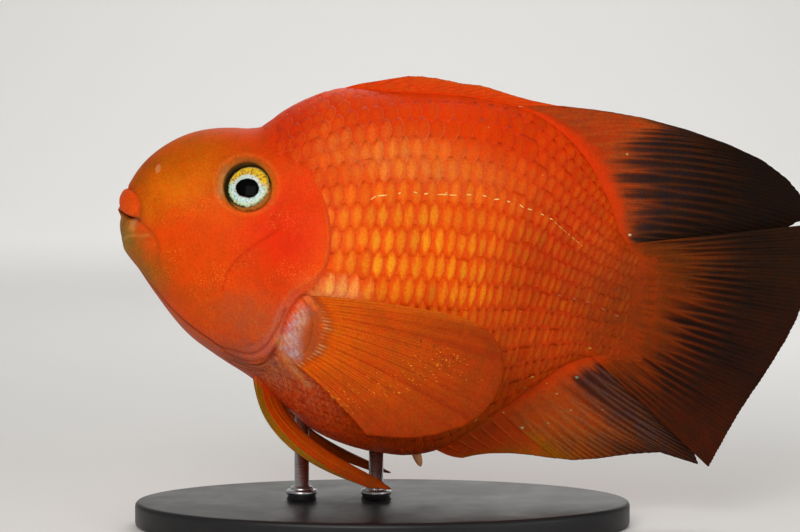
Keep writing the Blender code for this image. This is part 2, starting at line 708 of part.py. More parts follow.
def make_breast_fin(word, side, fish, material):
    x, z = line_through(BREAST_ROOT, BREAST_RAYS).T
    starts = on_side(x - BREAST_ROOT_LENGTH / 2, z, side) + side_normal(x, z, side) * BREAST_RAY_START
    edge = line_through(BREAST_EDGE, BREAST_RAYS)
    tips = np.stack([edge[:, 0], side * edge[:, 2], edge[:, 1]], axis=-1)
    bends = starts + (tips - starts) * BREAST_BEND_AT
    bends[:, 1] = side * (np.abs(starts[:, 1]) + BREAST_STAND_OFF)
    bends[:, 2] += BREAST_BEND_UP
    front, rear = fin_faces(starts, bends, tips, 8, BREAST_ROOT_HALF)
    inner, outer = (front, rear) if side * (front[0, 5, 1] - rear[0, 5, 1]) < 0 else (rear, front)
    places = np.linspace(0, 1, inner.shape[1])
    x = np.interp(places, np.linspace(0, 1, BREAST_RAYS), x)
    z = np.interp(places, np.linspace(0, 1, BREAST_RAYS), z)
    inner[0] = on_side(x, z, side)
    outer[0] = on_side(x - BREAST_ROOT_LENGTH, z, side)
    return membrane_solid(f"breast_fin_{word}", inner, outer, fish, material)


# The pelvic fins: distance along the body, distance off the middle and height
PELVIC_ROOT = ((0.0520, 0.0098), (0.0550, 0.0074), (0.0580, 0.0050))
PELVIC_ROOT_HALF = 0.0011
PELVIC_RAY_START = 0.0004
PELVIC_RAYS = 6
PELVIC_EDGE = (
    (0.0825, 0.0170, -0.0662), (0.0905, 0.0175, -0.0675), (0.0975, 0.0158, -0.0668), (0.0930, 0.0135, -0.0650),
    (0.0865, 0.0112, -0.0635), (0.0790, 0.0090, -0.0620),
)
PELVIC_BEND_FRONT, PELVIC_BEND_REAR = (0.0555, 0.0155, -0.0605), (0.0640, 0.0092, -0.0565)


def on_belly(x, y):
    """Points a gap under the belly's surface."""
    step = 0.0002
    along = (belly_height(x + step, y) - belly_height(x - step, y)) / (2 * step)
    across = (belly_height(x, y + step) - belly_height(x, y - step)) / (2 * step)
    normal = np.stack([along, across, -1 + 0 * along], axis=-1)
    normal /= np.linalg.norm(normal, axis=-1, keepdims=True)
    return np.stack([x, y, belly_height(x, y)], axis=-1) + normal * GAP


def make_pelvic_fin(word, side, fish, material):
    x, off = line_through(PELVIC_ROOT, PELVIC_RAYS).T
    starts = on_belly(x, side * off) - (0, 0, PELVIC_RAY_START)
    tips = np.array(PELVIC_EDGE) * (1, side, 1)
    bends = np.array([spread(a, b, PELVIC_RAYS) for a, b in zip(PELVIC_BEND_FRONT, PELVIC_BEND_REAR)]).T
    bends = bends * (1, side, 1)
    front, rear = fin_faces(starts, bends, tips, 8, PELVIC_ROOT_HALF)
    inner, outer = (front, rear) if side * (front[0, 3, 1] - rear[0, 3, 1]) < 0 else (rear, front)
    places = np.linspace(0, 1, inner.shape[1])
    x = np.interp(places, np.linspace(0, 1, PELVIC_RAYS), x)
    off = np.interp(places, np.linspace(0, 1, PELVIC_RAYS), off)
    across = np.array(PELVIC_ROOT[-1]) - np.array(PELVIC_ROOT[0])
    across = np.array([-across[1], across[0]]) / np.linalg.norm(across) * PELVIC_ROOT_HALF
    inner[0] = on_belly(x - across[0], side * (off - across[1]))
    outer[0] = on_belly(x + across[0], side * (off + across[1]))
    return membrane_solid(f"pelvic_fin_{word}", inner, outer, fish, material)


# Lips and jaw: each is a band that runs round the snout from one mouth corner to the other

UPPER_LIP = dict(
    front=(0.0025, 0.0018), corner=(0.0058, -0.0006), corner_off=0.0066, thick=0.0027, tall=0.0035, end_share=0.58,
)
LOWER_JAW = dict(
    front=(0.0036, -0.0080), corner=(0.0105, -0.0068), corner_off=0.0098, thick=0.0028, tall=0.0046, end_share=0.62,
)
BAND_POINTS = 12
BAND_RINGS = 11
MOUTH_CENTRE = (0.0052, 0.0, -0.0027)
MOUTH_RADII = (0.0062, 0.0080, 0.0008)
PAPILLA_PLACE = 0.1022
PAPILLA_LENGTH = 0.0030
PAPILLA_RADIUS = 0.0014
PAPILLA_TURN = math.radians(150)


def snout_band(name, shape, grow, collection, material):
    """A band bent round the snout: rings along half an ellipse, thickest in front and smaller at the corners."""
    front_x, front_z = shape["front"]
    corner_x, corner_z = shape["corner"]
    around = np.linspace(0, 2 * math.pi, BAND_POINTS, endpoint=False)
    points = []
    for turn in np.linspace(-math.pi / 2, math.pi / 2, BAND_RINGS):
        to_corner = 1 - math.cos(turn)
        centre = np.array([
            front_x + (corner_x - front_x) * to_corner,
            shape["corner_off"] * math.sin(turn),
            front_z + (corner_z - front_z) * to_corner,
        ])
        across = np.array([-shape["corner_off"] * math.cos(turn), (corner_x - front_x) * math.sin(turn) * 2, 0.0])
        across /= np.linalg.norm(across)
        size = 1 - (1 - shape["end_share"]) * to_corner
        thick, tall = shape["thick"] * size + grow, shape["tall"] * size + grow
        points += [centre + across * thick * math.cos(a) + np.array([0, 0, tall * math.sin(a)]) for a in around]
    faces = []
    for k in range(BAND_RINGS - 1):
        for i in range(BAND_POINTS):
            j = (i + 1) % BAND_POINTS
            first, second = k * BAND_POINTS, (k + 1) * BAND_POINTS
            faces.append([first + i, second + i, second + j, first + j])
    faces.append(list(range(BAND_POINTS)))
    faces.append(list(range((BAND_RINGS - 1) * BAND_POINTS, BAND_RINGS * BAND_POINTS)))
    obj = add_mesh(name, points, faces, collection, material)
    face_outwards(obj)
    return obj


def make_papilla(collection):
    """The small cone of flesh in front of the belly fin, pointing down and back."""
    bpy.ops.mesh.primitive_cone_add(
        vertices=10, radius1=PAPILLA_RADIUS, radius2=PAPILLA_RADIUS / 4, depth=2 * PAPILLA_LENGTH,
    )
    cone = bpy.context.object
    cone.name = "papilla"
    cone.rotation_euler = (0, PAPILLA_TURN, 0)
    cone.location = (PAPILLA_PLACE, 0, float(belly(PAPILLA_PLACE)))
    for other in list(cone.users_collection):
        other.objects.unlink(cone)
    collection.objects.link(cone)
    bpy.context.view_layer.update()
    return cone


# The stand

ROD_RADIUS = 0.0022
ROD_IN_BELLY = 0.0050
BORE_DEPTH = 0.020
ROD_SEGMENTS = 14
ROD_COLLAR_RADIUS = 0.0048
ROD_COLLAR_HEIGHT = 0.0030
ROD_COLLAR_CHAMFER = 0.0008
ROD_PLACES = {"front": 0.0660, "rear": 0.0900}
BASE_LENGTH, BASE_DEPTH, BASE_THICKNESS = 0.1500, 0.0860, 0.0075
BASE_EDGE = 0.0012
BASE_MIDDLE = (0.0825, 0.0, -0.0100)


def world_of(fish_pose, point):
    return fish_pose.matrix_world @ Vector(point)


def make_rod(name, x, foot, head, collection, material):
    """A turned steel rod with a small collar at its foot: a profile spun round the vertical."""
    profile = (
        (0.0, head), (ROD_RADIUS, head), (ROD_RADIUS, foot + ROD_COLLAR_HEIGHT + ROD_COLLAR_CHAMFER),
        (ROD_COLLAR_RADIUS - ROD_COLLAR_CHAMFER, foot + ROD_COLLAR_HEIGHT),
        (ROD_COLLAR_RADIUS, foot + ROD_COLLAR_HEIGHT / 2),
        (ROD_COLLAR_RADIUS, foot), (0.0, foot),
    )
    mesh = bpy.data.meshes.new(name)
    mesh.from_pydata([(r, 0, z) for r, z in profile], [(i, i + 1) for i in range(len(profile) - 1)], [])
    mesh.materials.append(material)
    rod = bpy.data.objects.new(name, mesh)
    rod.location = (x, 0, 0)
    collection.objects.link(rod)
    spin = rod.modifiers.new("spin", "SCREW")
    spin.steps = ROD_SEGMENTS
    spin.render_steps = ROD_SEGMENTS
    spin.use_merge_vertices = True
    spin.merge_threshold = 0.00001
    spin.use_smooth_shade = True
    return rod


def make_stand(fish_pose, collection, cutters, base_material, rod_material):
    """The base, the rods and the bores in the belly that the rods stand in."""
    middle = world_of(fish_pose, BASE_MIDDLE)
    bpy.ops.mesh.primitive_cylinder_add(vertices=44, radius=0.5, depth=1.0)
    base = bpy.context.object
    base.name = "stand_base"
    base.data.transform(Matrix.Diagonal((BASE_LENGTH, BASE_DEPTH, BASE_THICKNESS, 1.0)))
    base.location = (middle.x, 0, BASE_THICKNESS / 2)
    base.data.materials.append(base_material)
    base.data.shade_smooth()
    base.data.set_sharp_from_angle(angle=math.radians(40))
    bevel = base.modifiers.new("rounded edge", "BEVEL")
    bevel.width = BASE_EDGE
    bevel.segments = 2
    for other in list(base.users_collection):
        other.objects.unlink(base)
    collection.objects.link(base)
    bores = []
    for word, distance in ROD_PLACES.items():
        belly_point = world_of(fish_pose, (distance, 0, float(belly(distance))))
        head = belly_point.z + ROD_IN_BELLY
        make_rod(f"stand_rod_{word}", belly_point.x, BASE_THICKNESS + GAP, head, collection, rod_material)
        bore_mesh = bpy.data.meshes.new(f"bore_{word}")
        shape = bmesh.new()
        bmesh.ops.create_cone(
            shape, cap_ends=True, segments=ROD_SEGMENTS, radius1=ROD_RADIUS + GAP, radius2=ROD_RADIUS + GAP,
            depth=BORE_DEPTH,
        )
        shape.to_mesh(bore_mesh)
        shape.free()
        bore = bpy.data.objects.new(f"bore_{word}", bore_mesh)
        bore.location = (belly_point.x, 0, head + GAP - BORE_DEPTH / 2)
        cutters.objects.link(bore)
        bores.append(bore)
    return bores


def main():
    clear_scene()
    fish = new_collection("blood_parrot_cichlid")
    cutters = new_collection("cutters")
    skin = make_material("skin", SKIN_COLOUR, 0.35)
    fin = make_material("fin", FIN_COLOUR, 0.4)
    lip = make_material("lip", LIP_COLOUR, 0.35)
    eye = make_material("eye", EYE_COLOUR, 0.1)
    satin_black = make_material("stand_base", BASE_COLOUR, 0.4)
    steel = make_material("stand_rod", STEEL_COLOUR, 0.3, 1.0)

    fish_pose = bpy.data.objects.new("fish_pose", None)
    fish.objects.link(fish_pose)

    turn = ring_turns()
    pole = (0.0, 0.0, BACK_LINE[0][1])
    head_shares = np.linspace(0, 1, HEAD_RINGS + 1)[1:] ** HEAD_RING_EASE
    head = body_node("head", 0.0 * turn, head_end(turn), head_shares, fish, skin, pole)
    torso_shares = np.linspace(0, 1, TORSO_RINGS)
    torso = body_node("torso", head_end(turn) + GAP, STALK_START - GAP / 2 + 0 * turn, torso_shares, fish, skin)
    stalk_shares = np.linspace(0, 1, STALK_RINGS)
    body_node("tail_stalk", STALK_START + GAP / 2 + 0 * turn, stalk_end(turn), stalk_shares, fish, skin)

    make_eyes_and_nostrils(head, fish, cutters, eye)
    for hollow in make_gill_covers(fish, cutters, skin):
        use_boolean(head, hollow, "DIFFERENCE")
        use_boolean(torso, hollow, "DIFFERENCE")
    for name, shape in (("upper_lip", UPPER_LIP), ("lower_jaw", LOWER_JAW)):
        snout_band(name, shape, 0.0, fish, lip)
        groove = snout_band(f"{name}_groove", shape, GAP, cutters, None)
        use_boolean(head, groove, "DIFFERENCE")
    mouth = ellipsoid("mouth_gap", MOUTH_CENTRE, MOUTH_RADII, cutters, None, None, 20, 10)
    use_boolean(head, mouth, "DIFFERENCE")
    use_boolean(torso, make_papilla(cutters), "UNION")

    make_spiny_back_fin(fish, fin)
    make_soft_back_fin(fish, fin)
    make_spiny_belly_fin(fish, fin)
    make_soft_belly_fin(fish, fin)
    make_tail_fin(fish, fin)
    for word, side in (("left", -1), ("right", 1)):
        make_breast_fin(word, side, fish, fin)
        make_pelvic_fin(word, side, fish, fin)

    for obj in fish.objects:
        if obj is not fish_pose:
            obj.parent = fish_pose
    fish_pose.rotation_euler = (0, NOSE_UP, 0)
    fish_pose.location = (0, 0, SNOUT_HEIGHT)
    bpy.context.view_layer.update()
    across = [(obj.matrix_world @ v.co).x for obj in fish.objects if obj.type == "MESH" for v in obj.data.vertices]
    fish_pose.location.x = -(min(across) + max(across)) / 2
    bpy.context.view_layer.update()

    for bore in make_stand(fish_pose, fish, cutters, satin_black, steel):
        use_boolean(torso, bore, "DIFFERENCE")
    for cutter in cutters.objects:
        cutter.hide_render = True
        cutter.display_type = "WIRE"


main()
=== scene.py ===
"""The looks of a life-size still model of a blood parrot cichlid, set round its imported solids.

Sizes are in millimetres, which add_piece() turns into metres; only materials and the studio are in metres. Colours
are levels from 0 to 255. Every part of the fish is worked out along its own axis, with the snout at x = 0, the tail
towards +X, the back towards +Z and its left side towards -Y, and in_place() then tips it nose up on its stand.
"""

import math

import bpy
import numpy as np
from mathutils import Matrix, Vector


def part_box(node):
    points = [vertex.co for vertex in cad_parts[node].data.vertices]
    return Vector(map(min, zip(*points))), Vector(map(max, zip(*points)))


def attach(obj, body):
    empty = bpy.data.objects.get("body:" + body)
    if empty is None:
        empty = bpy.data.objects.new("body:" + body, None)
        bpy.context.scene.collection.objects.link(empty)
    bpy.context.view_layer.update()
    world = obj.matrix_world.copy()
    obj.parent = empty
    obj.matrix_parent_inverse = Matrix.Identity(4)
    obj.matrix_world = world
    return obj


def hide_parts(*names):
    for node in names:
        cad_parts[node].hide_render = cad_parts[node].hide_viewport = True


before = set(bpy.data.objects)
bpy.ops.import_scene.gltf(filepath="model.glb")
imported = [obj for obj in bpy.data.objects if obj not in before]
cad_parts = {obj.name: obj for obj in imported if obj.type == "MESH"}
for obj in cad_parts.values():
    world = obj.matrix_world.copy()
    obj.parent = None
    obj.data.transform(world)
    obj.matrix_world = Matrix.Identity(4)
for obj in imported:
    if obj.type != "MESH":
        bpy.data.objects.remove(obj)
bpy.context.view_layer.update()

# The skin
# One soft skin over the whole fish from the lips to the root of the tail, with the gill covers, the mouth, the
# sockets of the eyes and the folds of the throat worked into it. Where scales lie on it, it is sunk by their depth.

# The outline of the back and of the belly, without fins: distance from the snout, height
BACK_LINE = (
    (0, -1.5), (1.2, 5.5), (4.2, 13), (7.5, 17.7), (11.8, 21.9), (16.7, 25.3), (22.5, 27.8), (29, 29.4), (34.5, 30.3),
    (38.5, 32), (42, 36.2), (50, 42.7), (58.5, 47.2), (75, 49.4), (92, 51.8), (105, 52.6), (116, 51.3), (125, 48),
    (133.5, 42.5), (140, 35.5), (145.5, 28), (150, 20.5), (154.5, 17), (164, 17.2), (173, 17.8),
)
BELLY_LINE = (
    (0, -1.5), (1.4, -9), (3.5, -12.5), (9.5, -18.1), (15.5, -24), (28, -34.5), (36.5, -38.7), (50, -44.3),
    (62, -51.2), (70, -55.6), (82, -58.3), (91.5, -58.6), (100.5, -57.6), (109, -54), (116, -48.2), (123.5, -40.5),
    (132.5, -31), (141, -22.2), (147.5, -18.6), (154, -18.2), (164, -18.6), (173, -19.2),
)
# Half the thickness of the body, thinned to the tail fin at the end, and the height at which it is thickest
HALF_WIDTH = (
    (0, 0), (1.2, 6.2), (4.2, 10.5), (9.5, 14.5), (18, 18.8), (29, 22.2), (40, 24.8), (52, 27), (65, 28.2), (80, 27.8),
    (95, 25.8), (110, 21.8), (125, 16), (138, 10.5), (148, 6.7), (154, 4.5), (159, 2.5), (162.5, 1.1), (166, 0.3),
    (173, 0.2),
)
WIDEST_LEVEL = (
    (0, -1.5), (4.2, -1.5), (12, -4), (30, -9), (55, -12), (85, -12), (115, -5), (140, -0.5), (173, -0.5),
)
# How keeled the section is above and below its widest level: 1 is an ellipse, more is a sharper keel
BACK_KEEL = ((0, 1), (20, 0.95), (35, 0.95), (50, 1.12), (80, 1.22), (120, 1.3), (173, 1))
BELLY_KEEL = ((0, 1), (20, 0.95), (50, 1), (80, 0.92), (100, 1), (125, 1.25), (173, 1))
SKIN_END = 165.5


def smooth_curve(knots):
    """The cubic curve through (position, value) knots whose slope at a knot is the mean of its two chords.

    It runs over the square root of the position, so that the snout comes out blunt and round.
    """
    places, values = np.array(knots, float).T
    places = np.sqrt(places)
    chords = np.diff(values) / np.diff(places)
    slopes = np.concatenate([chords[:1], (chords[1:] + chords[:-1]) / 2, chords[-1:]])

    def value_at(position):
        place = np.sqrt(np.maximum(position, 0.0))
        k = np.clip(np.searchsorted(places, place, side="right") - 1, 0, len(places) - 2)
        span = places[k + 1] - places[k]
        t = (place - places[k]) / span
        start = (1 + 2 * t) * (1 - t) ** 2 * values[k] + t * (1 - t) ** 2 * span * slopes[k]
        return start + t**2 * (3 - 2 * t) * values[k + 1] + t**2 * (t - 1) * span * slopes[k + 1]

    return value_at


back, belly, half_width, widest_level, back_keel, belly_keel = (
    smooth_curve(knots) for knots in (BACK_LINE, BELLY_LINE, HALF_WIDTH, WIDEST_LEVEL, BACK_KEEL, BELLY_KEEL)
)


def body_points(x, turn):
    """Points of the body: at distance x, turned by an angle up from the left side's widest level.

    The height goes with the angle's sine, and the thickness with its cosine raised to the keel's power.
    """
    level, up, out = widest_level(x), np.sin(turn), np.cos(turn)
    height = np.where(up >= 0, back(x) - level, level - belly(x))
    keel = np.where(up >= 0, back_keel(x), belly_keel(x))
    y = -half_width(x) * np.sign(out) * np.abs(out) ** keel
    return np.stack([x + 0 * y, y, level + height * up], axis=-1)


def body_normals(x, turn):
    """Outward unit normals: the cross product of the body's slopes along it and round it."""
    step, turned = 0.1, 0.008
    along = body_points(x + step, turn) - body_points(np.maximum(x - step, 0), turn)
    around = body_points(x, turn + turned) - body_points(x, turn - turned)
    normal = np.cross(along, around)
    return normal / np.maximum(np.linalg.norm(normal, axis=-1, keepdims=True), 1e-6)


def side_turn(x, z):
    """The angle at which the body's left side has height z at distance x."""
    level = widest_level(x)
    height = np.where(z >= level, back(x) - level, level - belly(x))
    return np.arcsin(np.clip((z - level) / height, -1, 1))


def node_box(name):
    """The lowest and the highest corner of a solid."""
    return (1000 * np.array(corner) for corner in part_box(name))


NOSE_UP = math.radians(11)
SNOUT_HEIGHT = 97
ROD_PLACES = {"front": 66, "rear": 90}
# The snout's place, so that the front rod's middle comes under its place on the belly
rod_x, rod_z = ROD_PLACES["front"], float(belly(ROD_PLACES["front"]))
SNOUT_PLACE = sum(node_box("stand_rod_front"))[0] / 2 - rod_x * math.cos(NOSE_UP) - rod_z * math.sin(NOSE_UP)


def in_place(points):
    """The fish's own points set on the stand: turned nose up about the snout, then moved."""
    x, y, z = np.moveaxis(np.asarray(points, float).reshape(-1, 3), -1, 0)
    cos, sin = math.cos(NOSE_UP), math.sin(NOSE_UP)
    return np.stack([SNOUT_PLACE + x * cos + z * sin, y, SNOUT_HEIGHT - x * sin + z * cos], axis=-1)


def ramp(value, low, high):
    """0 below low, 1 above high and a smooth step between."""
    t = np.clip((value - low) / (high - low), 0, 1)
    return t * t * (3 - 2 * t)


def ridge(distance, width):
    """1 at no distance, falling off as a bell curve of this half width."""
    return np.exp(-((distance / width) ** 2))


def curve(corners, count, closed=False):
    """Points along a smooth curve through these corners: a cubic between each two, sloped as its neighbours."""
    corners = np.array(corners, float)
    if closed:
        padded = np.concatenate([corners[-1:], corners, corners[:2]])
        place = np.arange(count) / count * len(corners)
    else:
        padded = np.concatenate([2 * corners[:1] - corners[1:2], corners, 2 * corners[-1:] - corners[-2:-1]])
        place = np.linspace(0, len(corners) - 1, count)
    k = np.minimum(place.astype(int), len(padded) - 4)
    t = (place - k)[:, None]
    a, b, c, d = (padded[k + n] for n in range(4))
    return b + (c - a) / 2 * t + (2 * a - 5 * b + 4 * c - d) / 2 * t**2 + (3 * b - a - 3 * c + d) / 2 * t**3


def line_distance(x, z, line):
    """How far each (x, z) is from a line of points: the least distance to its segments."""
    best = np.full(np.shape(x), 1000.0)
    for (ax, az), (bx, bz) in zip(line[:-1], line[1:]):
        dx, dz = bx - ax, bz - az
        t = np.clip(((x - ax) * dx + (z - az) * dz) / (dx * dx + dz * dz + 1e-12), 0, 1)
        best = np.minimum(best, np.hypot(x - ax - t * dx, z - az - t * dz))
    return best


def inside_distance(x, z, outline):
    """The distance to a closed outline, positive inside it, where a level ray crosses it an odd number of times."""
    crossed = np.zeros(np.shape(x), bool)
    for (ax, az), (bx, bz) in zip(outline, np.roll(outline, -1, axis=0)):
        if az != bz:
            crossed ^= ((az > z) != (bz > z)) & (x < (bx - ax) * (z - az) / (bz - az) + ax)
    return np.where(crossed, 1, -1) * line_distance(x, z, np.concatenate([outline, outline[:1]]))


# Seen from the side: the edge of the gill cover's bony plate, and of the thin flap of skin behind and under it
PLATE_EDGE = curve((
    (50.8, 21.2), (54.8, 19.6), (59.8, 14), (63.7, 5.5), (64.6, -3), (61.8, -9.3), (56.2, -14), (54.2, -20.5),
    (52.8, -26.5), (47.5, -32.5), (39.5, -33.8), (36.2, -27), (36.2, -16.5), (39.2, -7.2), (45.5, -0.5), (49.8, 9.5),
), 80, closed=True)
FLAP_EDGE = curve((
    (50.8, 22), (55.4, 20.3), (60.6, 14.4), (64.5, 5.6), (65.5, -3.6), (63.2, -10.4), (58.8, -15.2), (56.2, -21.5),
    (55.2, -30), (50.5, -37.5), (40, -36.2), (35.4, -28), (35.4, -16.5), (38.4, -6.6), (44.7, 0.1), (49, 10),
), 80, closed=True)
# The head's scaleless skin: behind this line over the nape, the gill cover and the throat the scales begin
HEAD_EDGE = np.concatenate([
    curve((
        (36, 40), (43, 29), (47.5, 23.5), (51.5, 22.2), (55.6, 20.5), (60.8, 14.6), (64.8, 5.7), (65.9, -3.6),
        (64, -10.8), (59.2, -16), (56.6, -22.5), (55.8, -30), (53.8, -38), (50, -43), (47, -50),
    ), 90), [(-20, -50), (-20, 40)],
])
# The crease between the cheek and the gill cover, the folds of the throat under it, and those round the mouth
CHEEK_CREASE = curve(((50, 3.5), (46.3, 0), (40.1, -6.7), (37.3, -12.2), (36.6, -18)), 24)
THROAT_FOLDS = (
    curve(((38.8, -35.2), (46.8, -35), (51.4, -32.2), (54.6, -25), (56, -19)), 24),
    curve(((40, -36.8), (48, -37.2), (53, -34.5), (55.6, -29.2)), 20),
    curve(((40.7, -38.4), (48.5, -39.8), (53.8, -39)), 16),
)
MOUTH_LINE = curve(((-1, -1.7), (1.2, -2.1), (4, -2.6), (7.1, -2.4), (8, -3)), 20)
CHIN_CREASE = curve(((3.3, -3.2), (2.6, -6), (2.4, -9.5), (3.3, -12.8)), 16)
LIP_CREASE = curve(((4.2, -9.2), (5.6, -8), (8.1, -7.3), (11.8, -6.4)), 16)
JAW_FOLD = curve(((7.8, 0.2), (9, -3.2), (12.7, -5.5), (15.4, -9.5), (16, -13.5)), 20)
# The pale line under the breast fin's root
FIN_RIM = curve(((55.6, -29), (58.2, -33.5), (62.5, -37.2), (66.8, -40.5)), 12)

# Middle and reach of the bare skin round the breast fin's root, and of the eye's socket
BARE_PATCH, BARE_REACH = (61.5, -25.5), (6.2, 9.8)
SOCKET_CENTRE, SOCKET_REACH = (37.6, 13.9), (8.6, 7.7)
EYE_CENTRE = (38.3, 13)
NOSTRIL = (10.5, 13.2)
LIP_CENTRE, LIP_REACH, LIP_TILT = (3.6, 1.6), (4.4, 3.1), math.radians(-47)
COAT_DEPTH = 0.18
WRINKLE_PITCH = 0.85


def oval_share(x, z, middle, reach, tilt=0.0):
    """How far a place is from the middle of an oval, as a share of its reach that way."""
    cos, sin = math.cos(tilt), math.sin(tilt)
    dx, dz = x - middle[0], z - middle[1]
    return np.hypot((dx * cos + dz * sin) / reach[0], (dz * cos - dx * sin) / reach[1])


def bare_share(x, z):
    """1 on the scaleless head and round the breast fin's root, 0 where scales grow. On the nape it fades slowly."""
    slow = ramp(z, 20, 27)
    head = ramp(inside_distance(x, z, HEAD_EDGE), -1.2 - 5 * slow, 0.2 + 0.6 * slow)
    return np.maximum(head, 1 - ramp(oval_share(x, z, BARE_PATCH, BARE_REACH), 0.9, 1.15))


def wrinkles(x, z, flap):
    """Fine folds of the throat that run along the gill flap's lower edge: a sine of the distance to it, fading out."""
    where = ramp(x, 36, 44) * (1 - ramp(z, -31, -24)) * ramp(-flap, 0.2, 0.6) * (1 - ramp(-flap, 2.6, 4))
    return where * np.sin(2 * math.pi * (flap / WRINKLE_PITCH + 0.04 * (x - z)))


def landmarks(x, z):
    """How far a place is from gill plate, flap, socket, eyeball, nostril, lip and the cheek's lower edge."""
    return (
        inside_distance(x, z, PLATE_EDGE), inside_distance(x, z, FLAP_EDGE),
        oval_share(x, z, SOCKET_CENTRE, SOCKET_REACH), oval_share(x, z, EYE_CENTRE, (1, 1)),
        oval_share(x, z, NOSTRIL, (1, 1 / 0.6)), oval_share(x, z, LIP_CENTRE, LIP_REACH, LIP_TILT),
        z - belly(x) - 0.8 - 3.4 * ramp(x, 6, 34),
    )


# Folds and swellings along lines: the line, how far it is moved, its height and its half width
FOLDS = (
    (CHEEK_CREASE, (0, 0), -0.22, 0.5), (CHEEK_CREASE, (-2.2, 1.6), 0.25, 2.6),
    *((fold, (0, 0), -0.3, 0.4) for fold in THROAT_FOLDS), *((fold, (0.8, -1), 0.14, 0.8) for fold in THROAT_FOLDS),
    (CHIN_CREASE, (0, 0), -0.25, 0.4), (LIP_CREASE, (0, 0.7), -0.22, 0.4), (LIP_CREASE, (0, 0), 0.15, 0.5),
    (JAW_FOLD, (0, 0), -0.25, 0.6), (JAW_FOLD, (1.4, 0.6), 0.22, 1.2),
)


def relief(x, z):
    """How far the skin stands off the plain body at (x, z) seen from the side: steps at edges, grooves along folds."""
    plate, flap, moat, ball, nose, lip, under_cheek = landmarks(x, z)
    out = -COAT_DEPTH * (1 - bare_share(x, z)) * (1 - ramp(x, 150, 160))
    rear = np.maximum(ramp(x, 44, 58) * (1 - ramp(z, 7, 17)), ramp(x, 40, 52) * (1 - ramp(z, -30, -22)))
    out += rear * (0.4 * ramp(flap, -0.4, 0.3) + 0.6 * ramp(plate, -0.4, 1) - 0.5 * ridge(flap + 0.7, 0.6))
    for line, moved, height, width in FOLDS:
        out += height * ridge(line_distance(x, z, line + moved), width)
    out += 0.07 * wrinkles(x, z, flap)
    # The socket: a shallow moat with a soft brim, a lid close round the eyeball and a hole under it
    out += -0.35 * (1 - ramp(moat, 0.8, 1.15)) + 0.12 * ridge(moat - 1.16, 0.12)
    out += 0.4 * ridge(ball - 7.3, 0.5) - 3.5 * (1 - ramp(ball, 6.2, 6.9))
    # The nostril: a low rim round a small pit
    out += 0.16 * ridge(nose - 0.6, 0.3) - 0.4 * (1 - ramp(nose, 0.1, 0.4))
    # The upper lip: a sausage-shaped swelling across the snout, with a groove behind it
    out += 1.3 * np.sqrt(np.clip(1 - lip**2, 0, 1)) - 0.4 * ridge(lip - 1.1, 0.1)
    # The mouth, the lower lip and the line under the cheek
    out -= (2.4 - 1.8 * ramp(x, 1, 7)) * ridge(line_distance(x, z, MOUTH_LINE), 0.55)
    out -= 0.9 * (1 - ramp(x, 1, 5)) * ramp(-z, 1, 3) * (1 - ramp(-z, 8.5, 13))
    out += 0.35 * np.sqrt(np.clip(1 - oval_share(x, z, (3, -6), (3, 3.6)) ** 2, 0, 1))
    return out - 0.6 * ramp(x, 6, 10) * (1 - ramp(x, 38, 44)) * ridge(under_cheek, 0.5)


def tint(levels):
    """A colour given as levels, as the linear light that materials work in. One that is light already stays."""
    if isinstance(levels, np.ndarray):
        return levels
    share = np.array(levels, float) / 255
    return np.where(share <= 0.04045, share / 12.92, ((share + 0.055) / 1.055) ** 2.4)


def blend(colour, *layers):
    """A colour with (weight, colour) layers laid over it one after the other."""
    colour = tint(colour)
    for weight, other in layers:
        colour = colour + (tint(other) - colour) * np.clip(weight, 0, 1)[..., None]
    return colour


def soft_spot(x, z, middle, reach):
    """1 at the middle, falling off evenly to nothing past the reach."""
    return np.exp(-((((x - middle[0]) / reach[0]) ** 2 + ((z - middle[1]) / reach[1]) ** 2) ** 1.4))


def patches(x, z, spots):
    """Layers for blend(), one for each soft patch."""
    return [(strength * soft_spot(x, z, middle, reach), colour) for middle, reach, strength, colour in spots]


def ripple(x, z, size, seed):
    """A value of about -1 to 1 that wanders over the side view: the mean of sine waves running seven ways.

    size is the length of the longest wave.
    """
    total = 0 * x
    for k in range(7):
        heading = seed + 2.4 * k
        wave = 2 * math.pi * (1 + 0.31 * k) / size
        total = total + np.sin((x * math.cos(heading) + z * math.sin(heading)) * wave + 1.7 * k * seed)
    return total / 3


